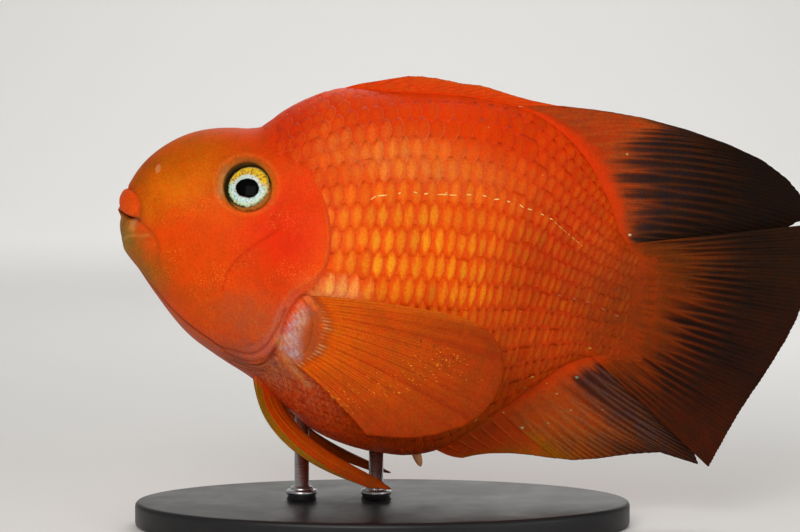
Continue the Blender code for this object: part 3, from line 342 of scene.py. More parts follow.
# The fish's markings with some painted light and shade, each a soft patch seen from the side: middle, reach, strength
# and colour
MARKINGS_AND_PAINTED_LIGHT = (
    # The ground colour over flank, back, rear and belly, with a painted highlight band along the upper flank at (80,
    # 31)
    ((88, 2), (34, 28), 0.9, (246, 90, 2)), ((85, 46), (42, 11), 0.9, (240, 64, 2)),
    ((80, 31), (32, 7), 0.7, (240, 116, 48)), ((120, 44), (22, 11), 0.8, (220, 56, 0)),
    ((130, 4), (17, 26), 0.85, (176, 50, 0)), ((136, 27), (13, 16), 0.7, (202, 52, 0)),
    ((118, -30), (26, 16), 0.85, (164, 60, 4)), ((156, -2), (18, 24), 1, (134, 54, 8)),
    ((95, -50), (38, 12), 0.9, (154, 54, 4)), ((64, -44), (16, 15), 0.95, (186, 62, 24)),
    ((60, 40), (22, 10), 0.9, (228, 62, 6)), ((66, 4), (8, 14), 0.6, (252, 100, 14)),
    ((118, -44), (14, 7), 0.6, (170, 80, 20)),
    # The forehead, the front of the snout and the nape
    ((20, 18), (23, 13), 1, (192, 94, 0)), ((10, 9), (9, 8), 0.8, (190, 104, 2)),
    ((6, 15), (4, 4), 0.5, (156, 72, 8)), ((5, 8), (4, 6), 0.6, (158, 84, 6)),
    ((38, 26), (10, 6), 0.8, (210, 74, 0)), ((47, 31), (8, 9), 0.9, (216, 48, 0)),
    # The cheek, redder towards the gill cover, the paler band under the eye, and painted shade on the lower cheek at
    # (26, -23)
    ((24, -8), (18, 14), 0.95, (220, 78, 0)), ((10, 1), (6, 5), 0.8, (200, 104, 4)),
    ((18, 8), (8, 5), 0.8, (224, 120, 4)), ((24, 14), (4, 6), 0.6, (226, 112, 4)),
    ((26, -23), (14, 5), 0.75, (180, 66, 12)), ((30, 4), (10, 4), 0.6, (226, 92, 2)),
    ((30, -25), (14, 9), 0.85, (212, 84, 8)), ((52, 2), (12, 15), 1, (228, 50, 0)),
    ((56, 13), (8, 9), 0.8, (230, 62, 0)), ((43, -9), (6, 6), 0.4, (200, 66, 4)),
    ((69, -13), (9, 5), 0.8, (244, 158, 92)), ((52, -14), (6, 5), 0.6, (198, 60, 4)),
    # The lower gill cover and the throat, dull and pink
    ((46, -24), (11, 8), 0.95, (188, 88, 46)), ((49, -37), (15, 6), 0.95, (148, 92, 68)),
    # The lower jaw and the chin, olive
    ((4, -10), (7, 8), 1, (142, 112, 36)), ((11, -18), (9, 7), 0.95, (146, 100, 14)),
    ((2, -5), (4, 4), 0.9, (140, 110, 48)), ((9, -6), (2, 4), 0.7, (186, 92, 24)),
    ((13, -11), (2.5, 4), 0.5, (206, 96, 30)),
)
# The tan skin before and over the eye, a pale and a red patch on the jaw, and the pale bluish patches before the
# breast fin's root
EYE_PATCHES = (((30.6, 12.5), (1.4, 4.6), 0.6, (196, 148, 100)), ((36, 20.6), (5, 1.4), 0.6, (140, 84, 34)))
JAW_PATCHES = (((6.3, -4.6), (1, 2.2), 0.55, (204, 160, 116)), ((9.3, -4.4), (2, 2.4), 0.7, (228, 84, 26)))
PALE_PATCHES = (
    ((60.8, -20.6), (2.4, 3.2), 0.85), ((59.4, -25), (2.4, 3.2), 0.8), ((58.6, -28.6), (3.2, 3), 0.85),
    ((60.9, -31.6), (2.4, 2.4), 0.85),
)


def skin_colour(x, z):
    """The fish's colour at a place seen from the side, the same for the skin, the scales and the fins' roots."""
    plate, flap, moat, ball, nose, lip, under_cheek = landmarks(x, z)
    low = ramp(x, 40, 52) * (1 - ramp(z, -22, -12))
    rear = np.maximum(ramp(x, 44, 58) * (1 - ramp(z, 6, 16)), low)
    wrinkle = wrinkles(x, z, flap)
    toward = np.cos(np.arctan2(z - EYE_CENTRE[1], x - EYE_CENTRE[0]) - 2.4)
    strip = (1 - ramp(x, 36, 44)) * ramp(x, 8, 14)
    streak = ripple(x + 0.8 * z, 0.3 * (z - x), 2.6, 1.3)
    root = oval_share(x, z, (64, -26), (5.5, 12))
    fan = np.arctan2(z + 1, x - 128)

    def along(line, width):
        return ridge(line_distance(x, z, line), width)

    return blend(
        (232, 76, 10), *patches(x, z, MARKINGS_AND_PAINTED_LIGHT),
        # The gill cover's rim, the flap under it with painted shade in the groove under its free edge, and the throat's
        # folds
        (0.8 * rear * ramp(flap, -0.2, 0.4) * (1 - ramp(plate, -0.2, 0.2)), (206, 74, 34)),
        (0.35 * rear * ridge(plate, 0.3), (232, 120, 60)), (0.5 * rear * ridge(flap + 0.5, 0.5), (150, 40, 10)),
        (0.6 * low * ramp(flap, -0.2, 0.4) * (1 - ramp(plate, 0, 1.2)), (188, 108, 92)),
        # Painted shade in the throat's folds, and on its wrinkles painted shade in the grooves and highlight on the
        # crests
        *((0.55 * along(fold, 0.35), (116, 40, 26)) for fold in THROAT_FOLDS),
        (0.75 * ramp(-wrinkle, 0.1, 0.9), (112, 40, 24)), (0.5 * ramp(wrinkle, 0.3, 1), (204, 128, 98)),
        # Painted shade along the cheek's crease
        (0.45 * along(CHEEK_CREASE, 0.4), (176, 30, 0)),
        # The tan skin and the dark rim round the eye, and the nostril: a pale rim with painted shade in its pit
        (0.9 * (1 - ramp(moat, 0.9, 1.12)), (172, 104, 32)), *patches(x, z, EYE_PATCHES),
        (0.35 * ridge(moat - 1.12, 0.06), (236, 124, 44)),
        ((0.5 + 0.35 * toward) * (1 - ramp(ball, 7, 7.6)), (128, 88, 32)),
        (0.9 * (1 - ramp(ball - 1.1 * toward, 6.5, 7.1)), (40, 38, 14)),
        (0.7 * (1 - ramp(nose, 0.5, 1)), (230, 160, 110)), (0.4 * (1 - ramp(nose, 0.1, 0.4)), (150, 80, 30)),
        # The lips and the jaw, with painted shade in the groove behind the upper lip, in the mouth and in the chin's
        # crease
        (1 - ramp(lip, 0.95, 1.12), (222, 84, 16)), (0.45 * ridge(lip - 1.1, 0.09) * ramp(z, -1.5, 1), (176, 70, 10)),
        (0.9 * along(MOUTH_LINE, 0.4), (70, 22, 8)), (0.4 * along(LIP_CREASE, 0.4), (214, 172, 104)),
        *patches(x, z, JAW_PATCHES), (0.55 * along(CHIN_CREASE, 0.4), (96, 62, 18)),
        (0.45 * along(JAW_FOLD, 0.5), (170, 74, 14)),
        # The strip under the cheek, with painted shade along the groove at its upper edge
        (0.85 * strip * (1 - ramp(under_cheek, -0.6, 0)), (178, 96, 70)),
        (0.8 * strip * ridge(under_cheek, 0.4), (98, 44, 22)),
        # The tan skin at the breast fin's root, with its pale patches
        (0.85 * (1 - ramp(root + 0.15 * streak, 0.5, 1.1)), (166, 88, 44)),
        *((weight * (0.75 + 0.35 * streak), (190, 176, 184)) for weight, _ in patches(
            x + 0.4 * streak, z, [(*spot, None) for spot in PALE_PATCHES])),
        # The dull root of the tail, with streaks that fan out from it into the rays
        (0.9 * ramp(x, 147, 160), (136, 56, 8)),
        (0.6 * ramp(x, 156, 166) * ramp(np.sin(90 * fan + 1.5 * np.sin(31 * fan)), -0.2, 0.8), (84, 38, 8)),
        (0.45 * ridge(line_distance(x, z, FIN_RIM) + 0.2 * streak, 0.9), (206, 158, 112)),
    )


# Rings of the skin: closest at the mouth, close at the eye and the gill covers, wide under scales
RING_POINTS, SNOUT_RINGS, SIDE_CROWDING = 430, 14, 0.17
RING_STEPS = ((2.2, 12.5, 0.36), (12.5, 28.5, 0.6), (28.5, 48, 0.33), (48, 69, 0.33), (69, SKIN_END, 3.3))
rings = [np.linspace(0.1**0.5, 2.2**0.5, SNOUT_RINGS) ** 2]
for first, last, step in RING_STEPS:
    count = round((last - first) / step)
    rings.append(first + (last - first) * np.arange(1, count + 1) / count)
rings = np.concatenate(rings)
turn = np.linspace(0, 2 * math.pi, RING_POINTS, endpoint=False)
# More points fall on the sides, where the angle's cosine is greatest, than on the keels
grid_x, grid_turn = np.meshgrid(rings, turn - SIDE_CROWDING * np.sin(2 * turn), indexing="ij")


def grid_quads(first, beside, points):
    """Faces between the places in one row of points, those beside them, and the same of the next row."""
    return np.stack([first, beside, beside + points, first + points], axis=-1).reshape(-1, 4)


def tube_faces(rings, points, inward=False):
    """Faces of a tube of rings, closed at its start by a fan round one extra point and at its end by another."""
    r, i = np.meshgrid(np.arange(rings - 1), np.arange(points), indexing="ij")
    quads = grid_quads(r * points + i, r * points + (i + 1) % points, points)
    i, j, last = np.arange(points), (np.arange(points) + 1) % points, (rings - 1) * points
    start = np.stack([np.full(points, last + points), j, i], axis=-1)
    end = np.stack([np.full(points, last + points + 1), last + i, last + j], axis=-1)
    return [f[:, ::-1] if inward else f for f in (quads, start, end)]


def add_piece(name, points, faces, smooth=(True,)):
    """A mesh object from arrays: points, and faces as arrays of corner numbers, a row each.

    smooth tells for each array of faces whether they are shaded smooth.
    """
    mesh = bpy.data.meshes.new(name)
    sizes = np.concatenate([np.full(len(f), f.shape[1]) for f in faces])
    corners = np.concatenate([f.reshape(-1) for f in faces]).astype(np.int32)
    mesh.vertices.add(len(points))
    mesh.vertices.foreach_set("co", np.asarray(points / 1000, np.float32).reshape(-1))
    mesh.loops.add(len(corners))
    mesh.loops.foreach_set("vertex_index", corners)
    mesh.polygons.add(len(sizes))
    mesh.polygons.foreach_set("loop_start", (np.cumsum(sizes) - sizes).astype(np.int32))
    mesh.polygons.foreach_set("use_smooth", np.repeat(np.resize(smooth, len(faces)), [len(f) for f in faces]))
    mesh.update(calc_edges=True)
    mesh.validate()
    piece = bpy.data.objects.new(name, mesh)
    bpy.context.scene.collection.objects.link(piece)
    return piece


def add_colours(piece, name, colours):
    """A colour for each point, kept in the mesh under this name."""
    layer = piece.data.color_attributes.new(name, "FLOAT_COLOR", "POINT")
    values = np.concatenate([colours.reshape(-1, 3), np.ones((colours.size // 3, 1))], axis=1)
    layer.data.foreach_set("color", values.astype(np.float32).reshape(-1))


def add_uv(piece, name, places):
    """A UV map under this name from one place for each point."""
    layer = piece.data.uv_layers.new(name=name)
    corners = np.empty(len(piece.data.loops), np.int32)
    piece.data.loops.foreach_get("vertex_index", corners)
    layer.data.foreach_set("uv", np.asarray(places, np.float32).reshape(-1, 2)[corners].reshape(-1))


def node(tree, kind, inputs=(), **settings):
    """A shader node with settings, its inputs linked or set by (socket, source or value) pairs."""
    made = tree.nodes.new("ShaderNode" + kind)
    for key, value in settings.items():
        setattr(made, key, value)
    for socket, source in inputs:
        if isinstance(source, bpy.types.NodeSocket):
            tree.links.new(source, made.inputs[socket])
        else:
            made.inputs[socket].default_value = source
    return made


def maths(tree, operation, *values):
    """The result of a sum on values or other results."""
    return node(tree, "Math", enumerate(values), operation=operation).outputs[0]


def mixed(tree, share, one, levels, blend_type="MIX"):
    """A colour with another, given as levels or as a socket, laid on it at a share."""
    other = levels if isinstance(levels, bpy.types.NodeSocket) else (*tint(levels), 1.0)
    return node(tree, "Mix", ((0, share), (6, one), (7, other)), data_type="RGBA", blend_type=blend_type).outputs[2]


def graded(tree, source, low, high, to_low=0.0, to_high=1.0):
    """A value mapped from one range to another along a smooth step."""
    ends = (("From Min", low), ("From Max", high), ("To Min", to_low), ("To Max", to_high))
    return node(tree, "MapRange", (("Value", source), *ends), interpolation_type="SMOOTHSTEP").outputs["Result"]


def grain(tree, place, scale, detail=4.0, roughness=0.55, stretch=None):
    """A noise value of this many grains to the metre, or along each axis to this stretch."""
    if stretch:
        place = node(tree, "Mapping", (("Vector", place), ("Scale", stretch))).outputs["Vector"]
    inputs = (("Vector", place), ("Scale", scale), ("Detail", detail), ("Roughness", roughness))
    return node(tree, "TexNoise", inputs).outputs["Fac"]


def attribute(tree, name):
    """The colours kept in the mesh under this name."""
    return node(tree, "VertexColor", layer_name=name).outputs["Color"]


def new_material(name, **values):
    """A Principled material with values for its sockets by name: itself, its node tree, and the place on the piece."""
    material = bpy.data.materials.new(name)
    material.use_nodes = True
    for socket, value in values.items():
        material.node_tree.nodes["Principled BSDF"].inputs[socket.replace("_", " ")].default_value = value
    return material, material.node_tree, node(material.node_tree, "TexCoord").outputs["Object"]


def finished(material, relief_height=None, strength=0.0, distance=0.0, **sources):
    """The material with its sockets linked to these sources, and a fine relief from a height."""
    tree = material.node_tree
    shader = tree.nodes["Principled BSDF"]
    if relief_height:
        bump = node(tree, "Bump", (("Height", relief_height), ("Strength", strength), ("Distance", distance)))
        tree.links.new(bump.outputs["Normal"], shader.inputs["Normal"])
    for socket, source in sources.items():
        tree.links.new(source, shader.inputs[socket.replace("_", " ")])
    return material


def flesh_grain(tree, place, colour):
    """A colour broken up by soft mottling and by a fine red grain."""
    mottle = graded(tree, grain(tree, place, 260.0, 5.0), 0.35, 0.65, 0.0, 0.5)
    colour = mixed(tree, mottle, colour, (240, 190, 20), "SOFT_LIGHT")
    fine = graded(tree, grain(tree, place, 1500.0, 3.0), 0.40, 0.62, 0.0, 0.40)
    return mixed(tree, fine, colour, (255, 120, 0), "MULTIPLY")


# Light goes a little way into flesh, red the furthest
FLESH = {"Subsurface_Weight": 0.10, "Subsurface_Scale": 0.001, "Subsurface_Radius": (1.0, 0.35, 0.15)}


def wet_skin():
    """Moist skin: its painted colours with mottling and, on the head, fine pale speckles, softly glossy."""
    material, tree, place = new_material("wet_skin", Roughness=0.50, Specular_IOR_Level=0.06, **FLESH)
    where = graded(tree, grain(tree, place, 110.0, 2.0), 0.46, 0.62)
    parts = node(tree, "SeparateXYZ", (("Vector", place),)).outputs
    head_end = SNOUT_PLACE / 1000 + 0.055
    for share in (graded(tree, parts["X"], head_end, head_end + 0.015, 1.0, 0.0),
                  graded(tree, parts["Z"], 0.096, 0.108, 1.0, 0.25)):
        where = maths(tree, "MULTIPLY", where, share)
    speckle = node(tree, "TexVoronoi", (("Vector", place), ("Scale", 1350.0)), feature="F1").outputs["Distance"]
    dots = maths(tree, "MULTIPLY", graded(tree, speckle, 0.14, 0.36, 0.5, 0.0), where)
    colour = mixed(tree, dots, flesh_grain(tree, place, attribute(tree, "Markings")), (246, 136, 44))
    return finished(material, grain(tree, place, 900.0), 0.25, 0.0004, Base_Color=colour)


base = body_points(grid_x, grid_turn)
raised = base + body_normals(grid_x, grid_turn) * relief(base[..., 0], base[..., 2])[..., None]
snout_end = body_points(np.zeros(1), np.zeros(1)) - (0.4, 0, 0)
ends = np.concatenate([snout_end, [(SKIN_END + 0.3, 0, float(widest_level(SKIN_END)))]])
all_points = np.concatenate([raised.reshape(-1, 3), ends])
skin = add_piece("skin", in_place(all_points), tube_faces(len(rings), RING_POINTS, inward=True))
all_base = np.concatenate([base.reshape(-1, 3), ends])
add_colours(skin, "Markings", skin_colour(all_base[:, 0], all_base[:, 2]))
skin.data.materials.append(wet_skin())
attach(skin, "root")
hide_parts("head", "torso", "tail_stalk", "gill_cover_left", "gill_cover_right", "upper_lip", "lower_jaw")

# The scales
# Thin, overlapping discs of bone under a film of skin, set in level rows like tiles, each over the next one
# behind it, with half a step between rows. They are large on the flank and fine on the breast.

# Tables of the left side: the turn at a length round the section, and the length at a height
STATIONS = np.linspace(30, SKIN_END, 287)
LEVELS = np.linspace(-85, 85, 341)
turns = np.linspace(-math.pi / 2, math.pi / 2, 241)
section = body_points(STATIONS[:, None], turns[None, :])
run = np.cumsum(np.linalg.norm(np.diff(section[..., 1:], axis=1), axis=-1), axis=1)
run = np.concatenate([np.zeros((len(run), 1)), run], axis=1)
run -= np.array([np.interp(0.0, turns, lengths) for lengths in run])[:, None]
turn_table = np.array([np.interp(LEVELS, lengths, turns) for lengths in run])
run_table = np.array([np.interp(LEVELS, heights, lengths) for heights, lengths in zip(section[..., 2], run)])


def read_table(table, x, value):
    """A table's entry at distance x and this value of the second row heading, mixed from the four nearest."""
    i = np.clip((x - STATIONS[0]) / (STATIONS[1] - STATIONS[0]), 0, len(STATIONS) - 1.001)
    j = np.clip((value - LEVELS[0]) / (LEVELS[1] - LEVELS[0]), 0, len(LEVELS) - 1.001)
    i0, j0 = i.astype(int), j.astype(int)
    s, t = i - i0, j - j0
    low = table[i0, j0] * (1 - s) + table[i0 + 1, j0] * s
    return low * (1 - t) + (table[i0, j0 + 1] * (1 - s) + table[i0 + 1, j0 + 1] * s) * t


# Row 0 of the scales follows the lateral line, and the rows under it straighten out step by step
LATERAL_LINE = (
    (30, 6), (45, 10.5), (60, 14.5), (74.1, 18.6), (82, 20.4), (93.4, 22.6), (102.1, 23.7), (110.9, 23.7),
    (120.1, 22.2), (128.1, 19.3), (135.6, 15.7), (145, 12.2), (155, 9.8), (164, 9), (173, 9),
)
STRAIGHT_LINE = ((30, 11), (70, 16), (105, 19), (140, 12.8), (173, 7.5))
STRAIGHTENED = 0.11
# How much the columns of scales lean forward for each millimetre up, and the depth at which that levels off
LEAN = ((30, 0.16), (90, 0.16), (107, 0.02), (130, -0.26), (150, -0.3), (173, -0.15))
LEAN_REACH = 25
# Pitch of the scales along the body and round it, at distances from the snout
FLANK = (
    ((30, 2), (48, 2.8), (62, 3.8), (98, 3.7), (112, 3.2), (124, 2.6), (136, 2.1), (150, 1.7), (173, 1.3)),
    ((30, 3.4), (48, 4.6), (64, 6.4), (80, 7), (106, 6.9), (118, 6), (130, 5), (142, 4.2), (173, 3)),
)
BREAST = (((30, 1.4), (70, 1.7), (173, 2.2)), ((30, 2), (70, 2.4), (173, 3)))

# A tile's rows of points from root to rear edge, points across, length and half width in steps of the lattice,
# how far its rear edge rounds, its height over the body and its thickness
TILE_ROWS = (0.0, 0.45, 0.75, 0.93, 1.0)
TILE_ACROSS = 7
TILE_LENGTH, TILE_HALF, TILE_SAG = 1.65, 0.68, 0.46
TILE_TOP, TILE_SLOPE, TILE_THICKNESS = 0.02, 0.03, 0.05
LARGE_STEP = 3.7
# The side of a tile's own square in the map of the coat, and the rows that may reach the body
PATCH = 0.003
ROWS = np.arange(-40, 24)

random = np.random.default_rng(7)


def read(knots, x):
    """The value between (position, value) knots joined by straight lines."""
    return np.interp(x, *np.array(knots, float).T)


def columns_of(kind):
    """The distance at each column number, as a function, and the number of columns."""
    x = np.linspace(30, SKIN_END, 600)
    step = read(kind[0], x)
    columns = np.concatenate([[0], np.cumsum(np.diff(x) / ((step[1:] + step[:-1]) / 2))])
    return lambda column: np.interp(column, columns, x) + np.minimum(column, 0) * step[0], columns[-1]


def lattice_place(kind, column, row):
    """Distance and turn of a place in the lattice, and its length round the section: a row under the lateral line.

    Columns cross the rows squarely: x = distance(column) - lean * height over row 0, with the height levelling off
    below it.
    """
    straight = columns_of(kind)[0](column)
    height = row * read(kind[1], straight)
    height = np.where(height > 0, height, -LEAN_REACH * (1 - np.exp(height / LEAN_REACH)))
    x = straight - read(LEAN, straight) * height
    level = read(STRAIGHT_LINE, x)
    level = level + np.clip(1 + STRAIGHTENED * row, 0, 1) * (read(LATERAL_LINE, x) - level)
    length = read_table(run_table, x, level) + row * read(kind[1], x)
    return x, read_table(turn_table, x, length), length


def tile_places(kind, breast):
    """Column and row numbers of the tiles of one kind, kept where scales of that kind grow."""
    row, column = np.meshgrid(ROWS, np.arange(0, int(columns_of(kind)[1]) + 6), indexing="ij")
    column = column + 0.5 * (row % 2)
    x, turn, length = lattice_place(kind, column, row)
    z = body_points(x, turn)[..., 2]
    beyond = 0.45 * read(kind[1], x)
    lowest, highest = (np.interp(x, STATIONS, run[:, end]) for end in (0, -1))
    grown = (length > lowest - beyond) & (length < highest + beyond)
    grown &= (x < SKIN_END - 8) & (bare_share(x - 0.6, z) < 0.35 + 0.5 * ramp(z, 20, 27))
    # The breast's fine scales grow under a line that falls towards the belly
    grown &= ((z < -32.5 - (x - 62) * 0.62) & (x < 90)) == breast
    return column[grown].astype(float), row[grown].astype(float)


def rim_of(rows, columns):
    """The points round the edge of a grid, in order."""
    return np.concatenate([
        np.arange(columns), np.arange(1, rows) * columns + columns - 1,
        (rows - 1) * columns + np.arange(columns - 2, -1, -1), np.arange(rows - 2, 0, -1) * columns,
    ])


def grid_corners(rows, columns):
    """The first corner of each face of a grid."""
    r, c = np.meshgrid(np.arange(rows - 1), np.arange(columns - 1), indexing="ij")
    return (r * columns + c).reshape(-1)


def repeated(faces, count, points, inward=False):
    """The faces of one shape for each of a count of shapes with this many points."""
    shift = (np.arange(count) * points)[:, None, None]
    return [((f[:, ::-1] if inward else f)[None] + shift).reshape(-1, f.shape[1]) for f in faces]


# The lighter middle of a scale: yellow-orange on the flank, peach in the painted highlight band up the side, dull
# towards the tail
GLEAM = (246, 112, 26)
GLEAMS = (
    ((88, 0), (30, 26), 1, (255, 160, 28)), ((62, -6), (12, 16), 0.8, (255, 154, 50)),
    ((76, 31), (30, 8), 0.9, (252, 150, 70)), ((112, 42), (26, 10), 0.7, (236, 92, 8)),
    ((128, 4), (15, 24), 0.9, (192, 98, 8)), ((136, 26), (12, 12), 0.7, (206, 92, 6)),
    ((154, -2), (18, 24), 0.9, (148, 78, 12)), ((116, -30), (26, 16), 0.8, (186, 88, 12)),
    ((96, -50), (36, 12), 0.8, (184, 82, 14)), ((64, -44), (18, 15), 0.95, (206, 124, 86)),
    ((69, -13), (10, 5), 0.85, (255, 198, 120)),
)
# How strong each scale's light middle, pale rear edge and painted shadow along the rear edge are, from place to place
LOOK = np.array((0.5, 0.2, 0.2))
LOOKS = (
    ((95, 0), (34, 26), 1, (0.95, 0.15, 0.15)), ((60, 30), (18, 13), 0.9, (0.25, 0.4, 0)),
    # The strong middles and pale edges at (83, 29) are a painted highlight band along the upper flank
    ((88, 42), (30, 9), 0.9, (0.2, 0.4, 0)), ((83, 29), (28, 7), 0.85, (0.75, 0.6, 0)),
    ((85, 53), (60, 7), 1, (0, 0.1, 0)), ((46, 34), (8, 10), 0.9, (0, 0.15, 0)),
    ((118, 44), (22, 10), 0.8, (0.25, 0.05, 0.1)), ((132, 4), (18, 30), 0.9, (0.85, 0, 0.4)),
    ((154, -2), (12, 22), 0.9, (0.4, 0, 0.2)), ((118, -32), (30, 14), 0.9, (0.45, 0.05, 0.1)),
    ((90, -50), (38, 12), 0.9, (0.3, 0.2, 0.15)), ((64, -44), (18, 15), 0.95, (0.5, 0.75, 0)),
    ((58, -8), (8, 16), 0.7, (0.45, 0.5, 0)),
)


def scale_material():
    """Scales under wet skin: a lighter spindle in the middle of each, and a pale line or a painted shadow along its
    rear edge.
    """
    material, tree, place = new_material("skinned_scales", Roughness=0.45, Specular_IOR_Level=0.06, **FLESH)
    looks = node(tree, "SeparateColor", (("Color", attribute(tree, "Looks")),)).outputs
    shape = node(tree, "UVMap", uv_map="Shape").outputs["UV"]
    parts = node(tree, "SeparateXYZ", (("Vector", shape),)).outputs
    aside = maths(tree, "MULTIPLY_ADD", parts["X"], 2.0, -1.0)
    square = maths(tree, "MULTIPLY", aside, aside)
    wobble = maths(tree, "MULTIPLY_ADD", grain(tree, place, 1000.0, stretch=(1.0, 1.0, 0.3)), 0.60, -0.30)
    # A spindle: the distance from its middle line against a half width that narrows to its tips
    off = maths(tree, "ABSOLUTE", maths(tree, "ADD", maths(tree, "SUBTRACT", parts["Y"], 0.50), wobble))
    past = maths(tree, "SUBTRACT", off, maths(tree, "MULTIPLY_ADD", square, -0.56, 0.38))
    edge = maths(tree, "ADD", maths(tree, "MULTIPLY_ADD", square, -TILE_SAG, parts["Y"]),
                 maths(tree, "MULTIPLY", wobble, 0.25))
    colour = attribute(tree, "Markings")
    for look, source, low, high, laid in (
        ("Red", past, -0.32, 0.12, attribute(tree, "Gleam")), ("Green", edge, 0.04, 0.17, (236, 146, 84)),
        # A painted shadow along each scale's rear edge
        ("Blue", edge, 0.02, 0.20, (176, 30, 0)),
    ):
        share = maths(tree, "MULTIPLY", graded(tree, source, low, high, 1.0, 0.0), looks[look])
        colour = mixed(tree, share, colour, laid)
    rings = node(tree, "TexWave", (("Vector", shape), ("Scale", 9.0), ("Distortion", 1.5), ("Detail", 2.0)),
                 wave_type="BANDS", bands_direction="Y").outputs["Fac"]
    height = maths(tree, "ADD", rings, grain(tree, place, 1400.0, 3.0))
    return finished(material, height, 0.10, 0.0002, Base_Color=flesh_grain(tree, place, colour))


scale_finish = scale_material()


def add_scales(name, kind, breast, side):
    """The tiles of one kind on one side of the fish. side is -1 left and 1 right.

    A tile runs from its root to a rounded rear edge, place = apex - sag * b^2, and rises evenly towards it, so
    that each lies over the next one behind. It is closed: a grid above, a wall round it and one face below.
    """
    column, row = tile_places(kind, breast)
    count = len(column)
    column = column + random.uniform(-0.10, 0.10, count)
    row = row + random.uniform(-0.035, 0.035, count)
    apex = column[:, None, None]
    a = np.array(TILE_ROWS)[None, :, None]
    b = np.linspace(-1, 1, TILE_ACROSS)[None, None, :]
    rear = apex - TILE_SAG * random.uniform(0.8, 1.2, count)[:, None, None] * b**2
    root = apex - TILE_LENGTH + 0.12 * b**2
    place = root + (rear - root) * a
    x, turn, _ = lattice_place(kind, place, row[:, None, None] + TILE_HALF * b * (0.86 + 0.14 * a))
    distance = columns_of(kind)[0]
    size = (distance(apex) - distance(apex - 1)) / LARGE_STEP
    lift = TILE_TOP - TILE_SLOPE * size * (apex - place)
    lift = lift - 0.03 * ramp(a, 0.93, 1.0) + random.normal(0, 0.006, count)[:, None, None]

    each = len(TILE_ROWS) * TILE_ACROSS
    rim = rim_of(len(TILE_ROWS), TILE_ACROSS)
    first = grid_corners(len(TILE_ROWS), TILE_ACROSS)
    low = each + np.arange(len(rim))
    faces = (grid_quads(first, first + 1, TILE_ACROSS),
             np.stack([rim, low, np.roll(low, -1), np.roll(rim, -1)], axis=-1), low[::-1][None, :])

    def spread_out(values, lower=None):
        """Values for the grid's points, and again for the wall's lower ones."""
        values = values.reshape(count, each, -1)
        return np.concatenate([values, (values if lower is None else lower.reshape(count, each, -1))[:, rim]], axis=1)

    surface, normal = body_points(x, turn), body_normals(x, turn)
    points = spread_out(surface + normal * lift[..., None], surface + normal * (lift - TILE_THICKNESS)[..., None])
    piece = add_piece(name, in_place(points * (1, -side, 1)), repeated(faces, count, each + len(rim), side < 0),
                      (True, False, False))
    base = spread_out(surface)
    middle = body_points(*lattice_place(kind, column - 0.5, row)[:2])[:, None, :]
    mx, mz = middle[..., 0], middle[..., 2]
    like = np.ones((1, base.shape[1], 1))
    shade = random.normal(1.0, 0.07, count)[:, None, None] * like
    add_colours(piece, "Markings", skin_colour(base[..., 0], base[..., 2]) * (0.5 + 0.5 * shade))
    add_colours(piece, "Gleam", blend(GLEAM, *patches(mx, mz, GLEAMS)) * shade)
    looks = blend(LOOK, *((weight, np.array(look)) for weight, look in patches(mx, mz, LOOKS)))
    looks *= 0.90 + 0.2 * ripple(mx, mz, 30, 3.1)[..., None]
    add_colours(piece, "Looks", looks * random.uniform(0.72, 1.12, count)[:, None, None] * like)
    behind = apex - place
    add_uv(piece, "Shape", spread_out(np.stack([(b + 1) / 2 + 0 * behind, behind], axis=-1)))
    root_x, root_turn, _ = lattice_place(kind, column - TILE_LENGTH, row)
    unwrap = np.stack([root_x / SKIN_END, 0.5 + side * (root_turn / math.pi + 0.5) / 2], axis=-1)
    inside = np.stack([b / 2 + 0 * behind, 0.5 - behind / TILE_LENGTH], axis=-1).reshape(count, -1, 2)
    add_uv(piece, "OFBake", spread_out(unwrap[:, None, :] + inside * PATCH))
    piece.data.materials.append(scale_finish)
    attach(piece, "root")


SIDES = (("left", -1), ("right", 1))
for word, side in SIDES:
    add_scales(f"flank_scales_{word}", FLANK, False, side)
    add_scales(f"breast_scales_{word}", BREAST, True, side)

# The eyes
# Each is a glossy ball in its socket: a black pupil wider than it is tall, a silvery iris that turns gold
# above, and a dark ring round it.

EYE_RADIUS, EYE_DEPTH_RADIUS, EYE_SUNK = 7.3, 4.6, 1.75
EYE_RINGS, EYE_SPOKES = 110, 240


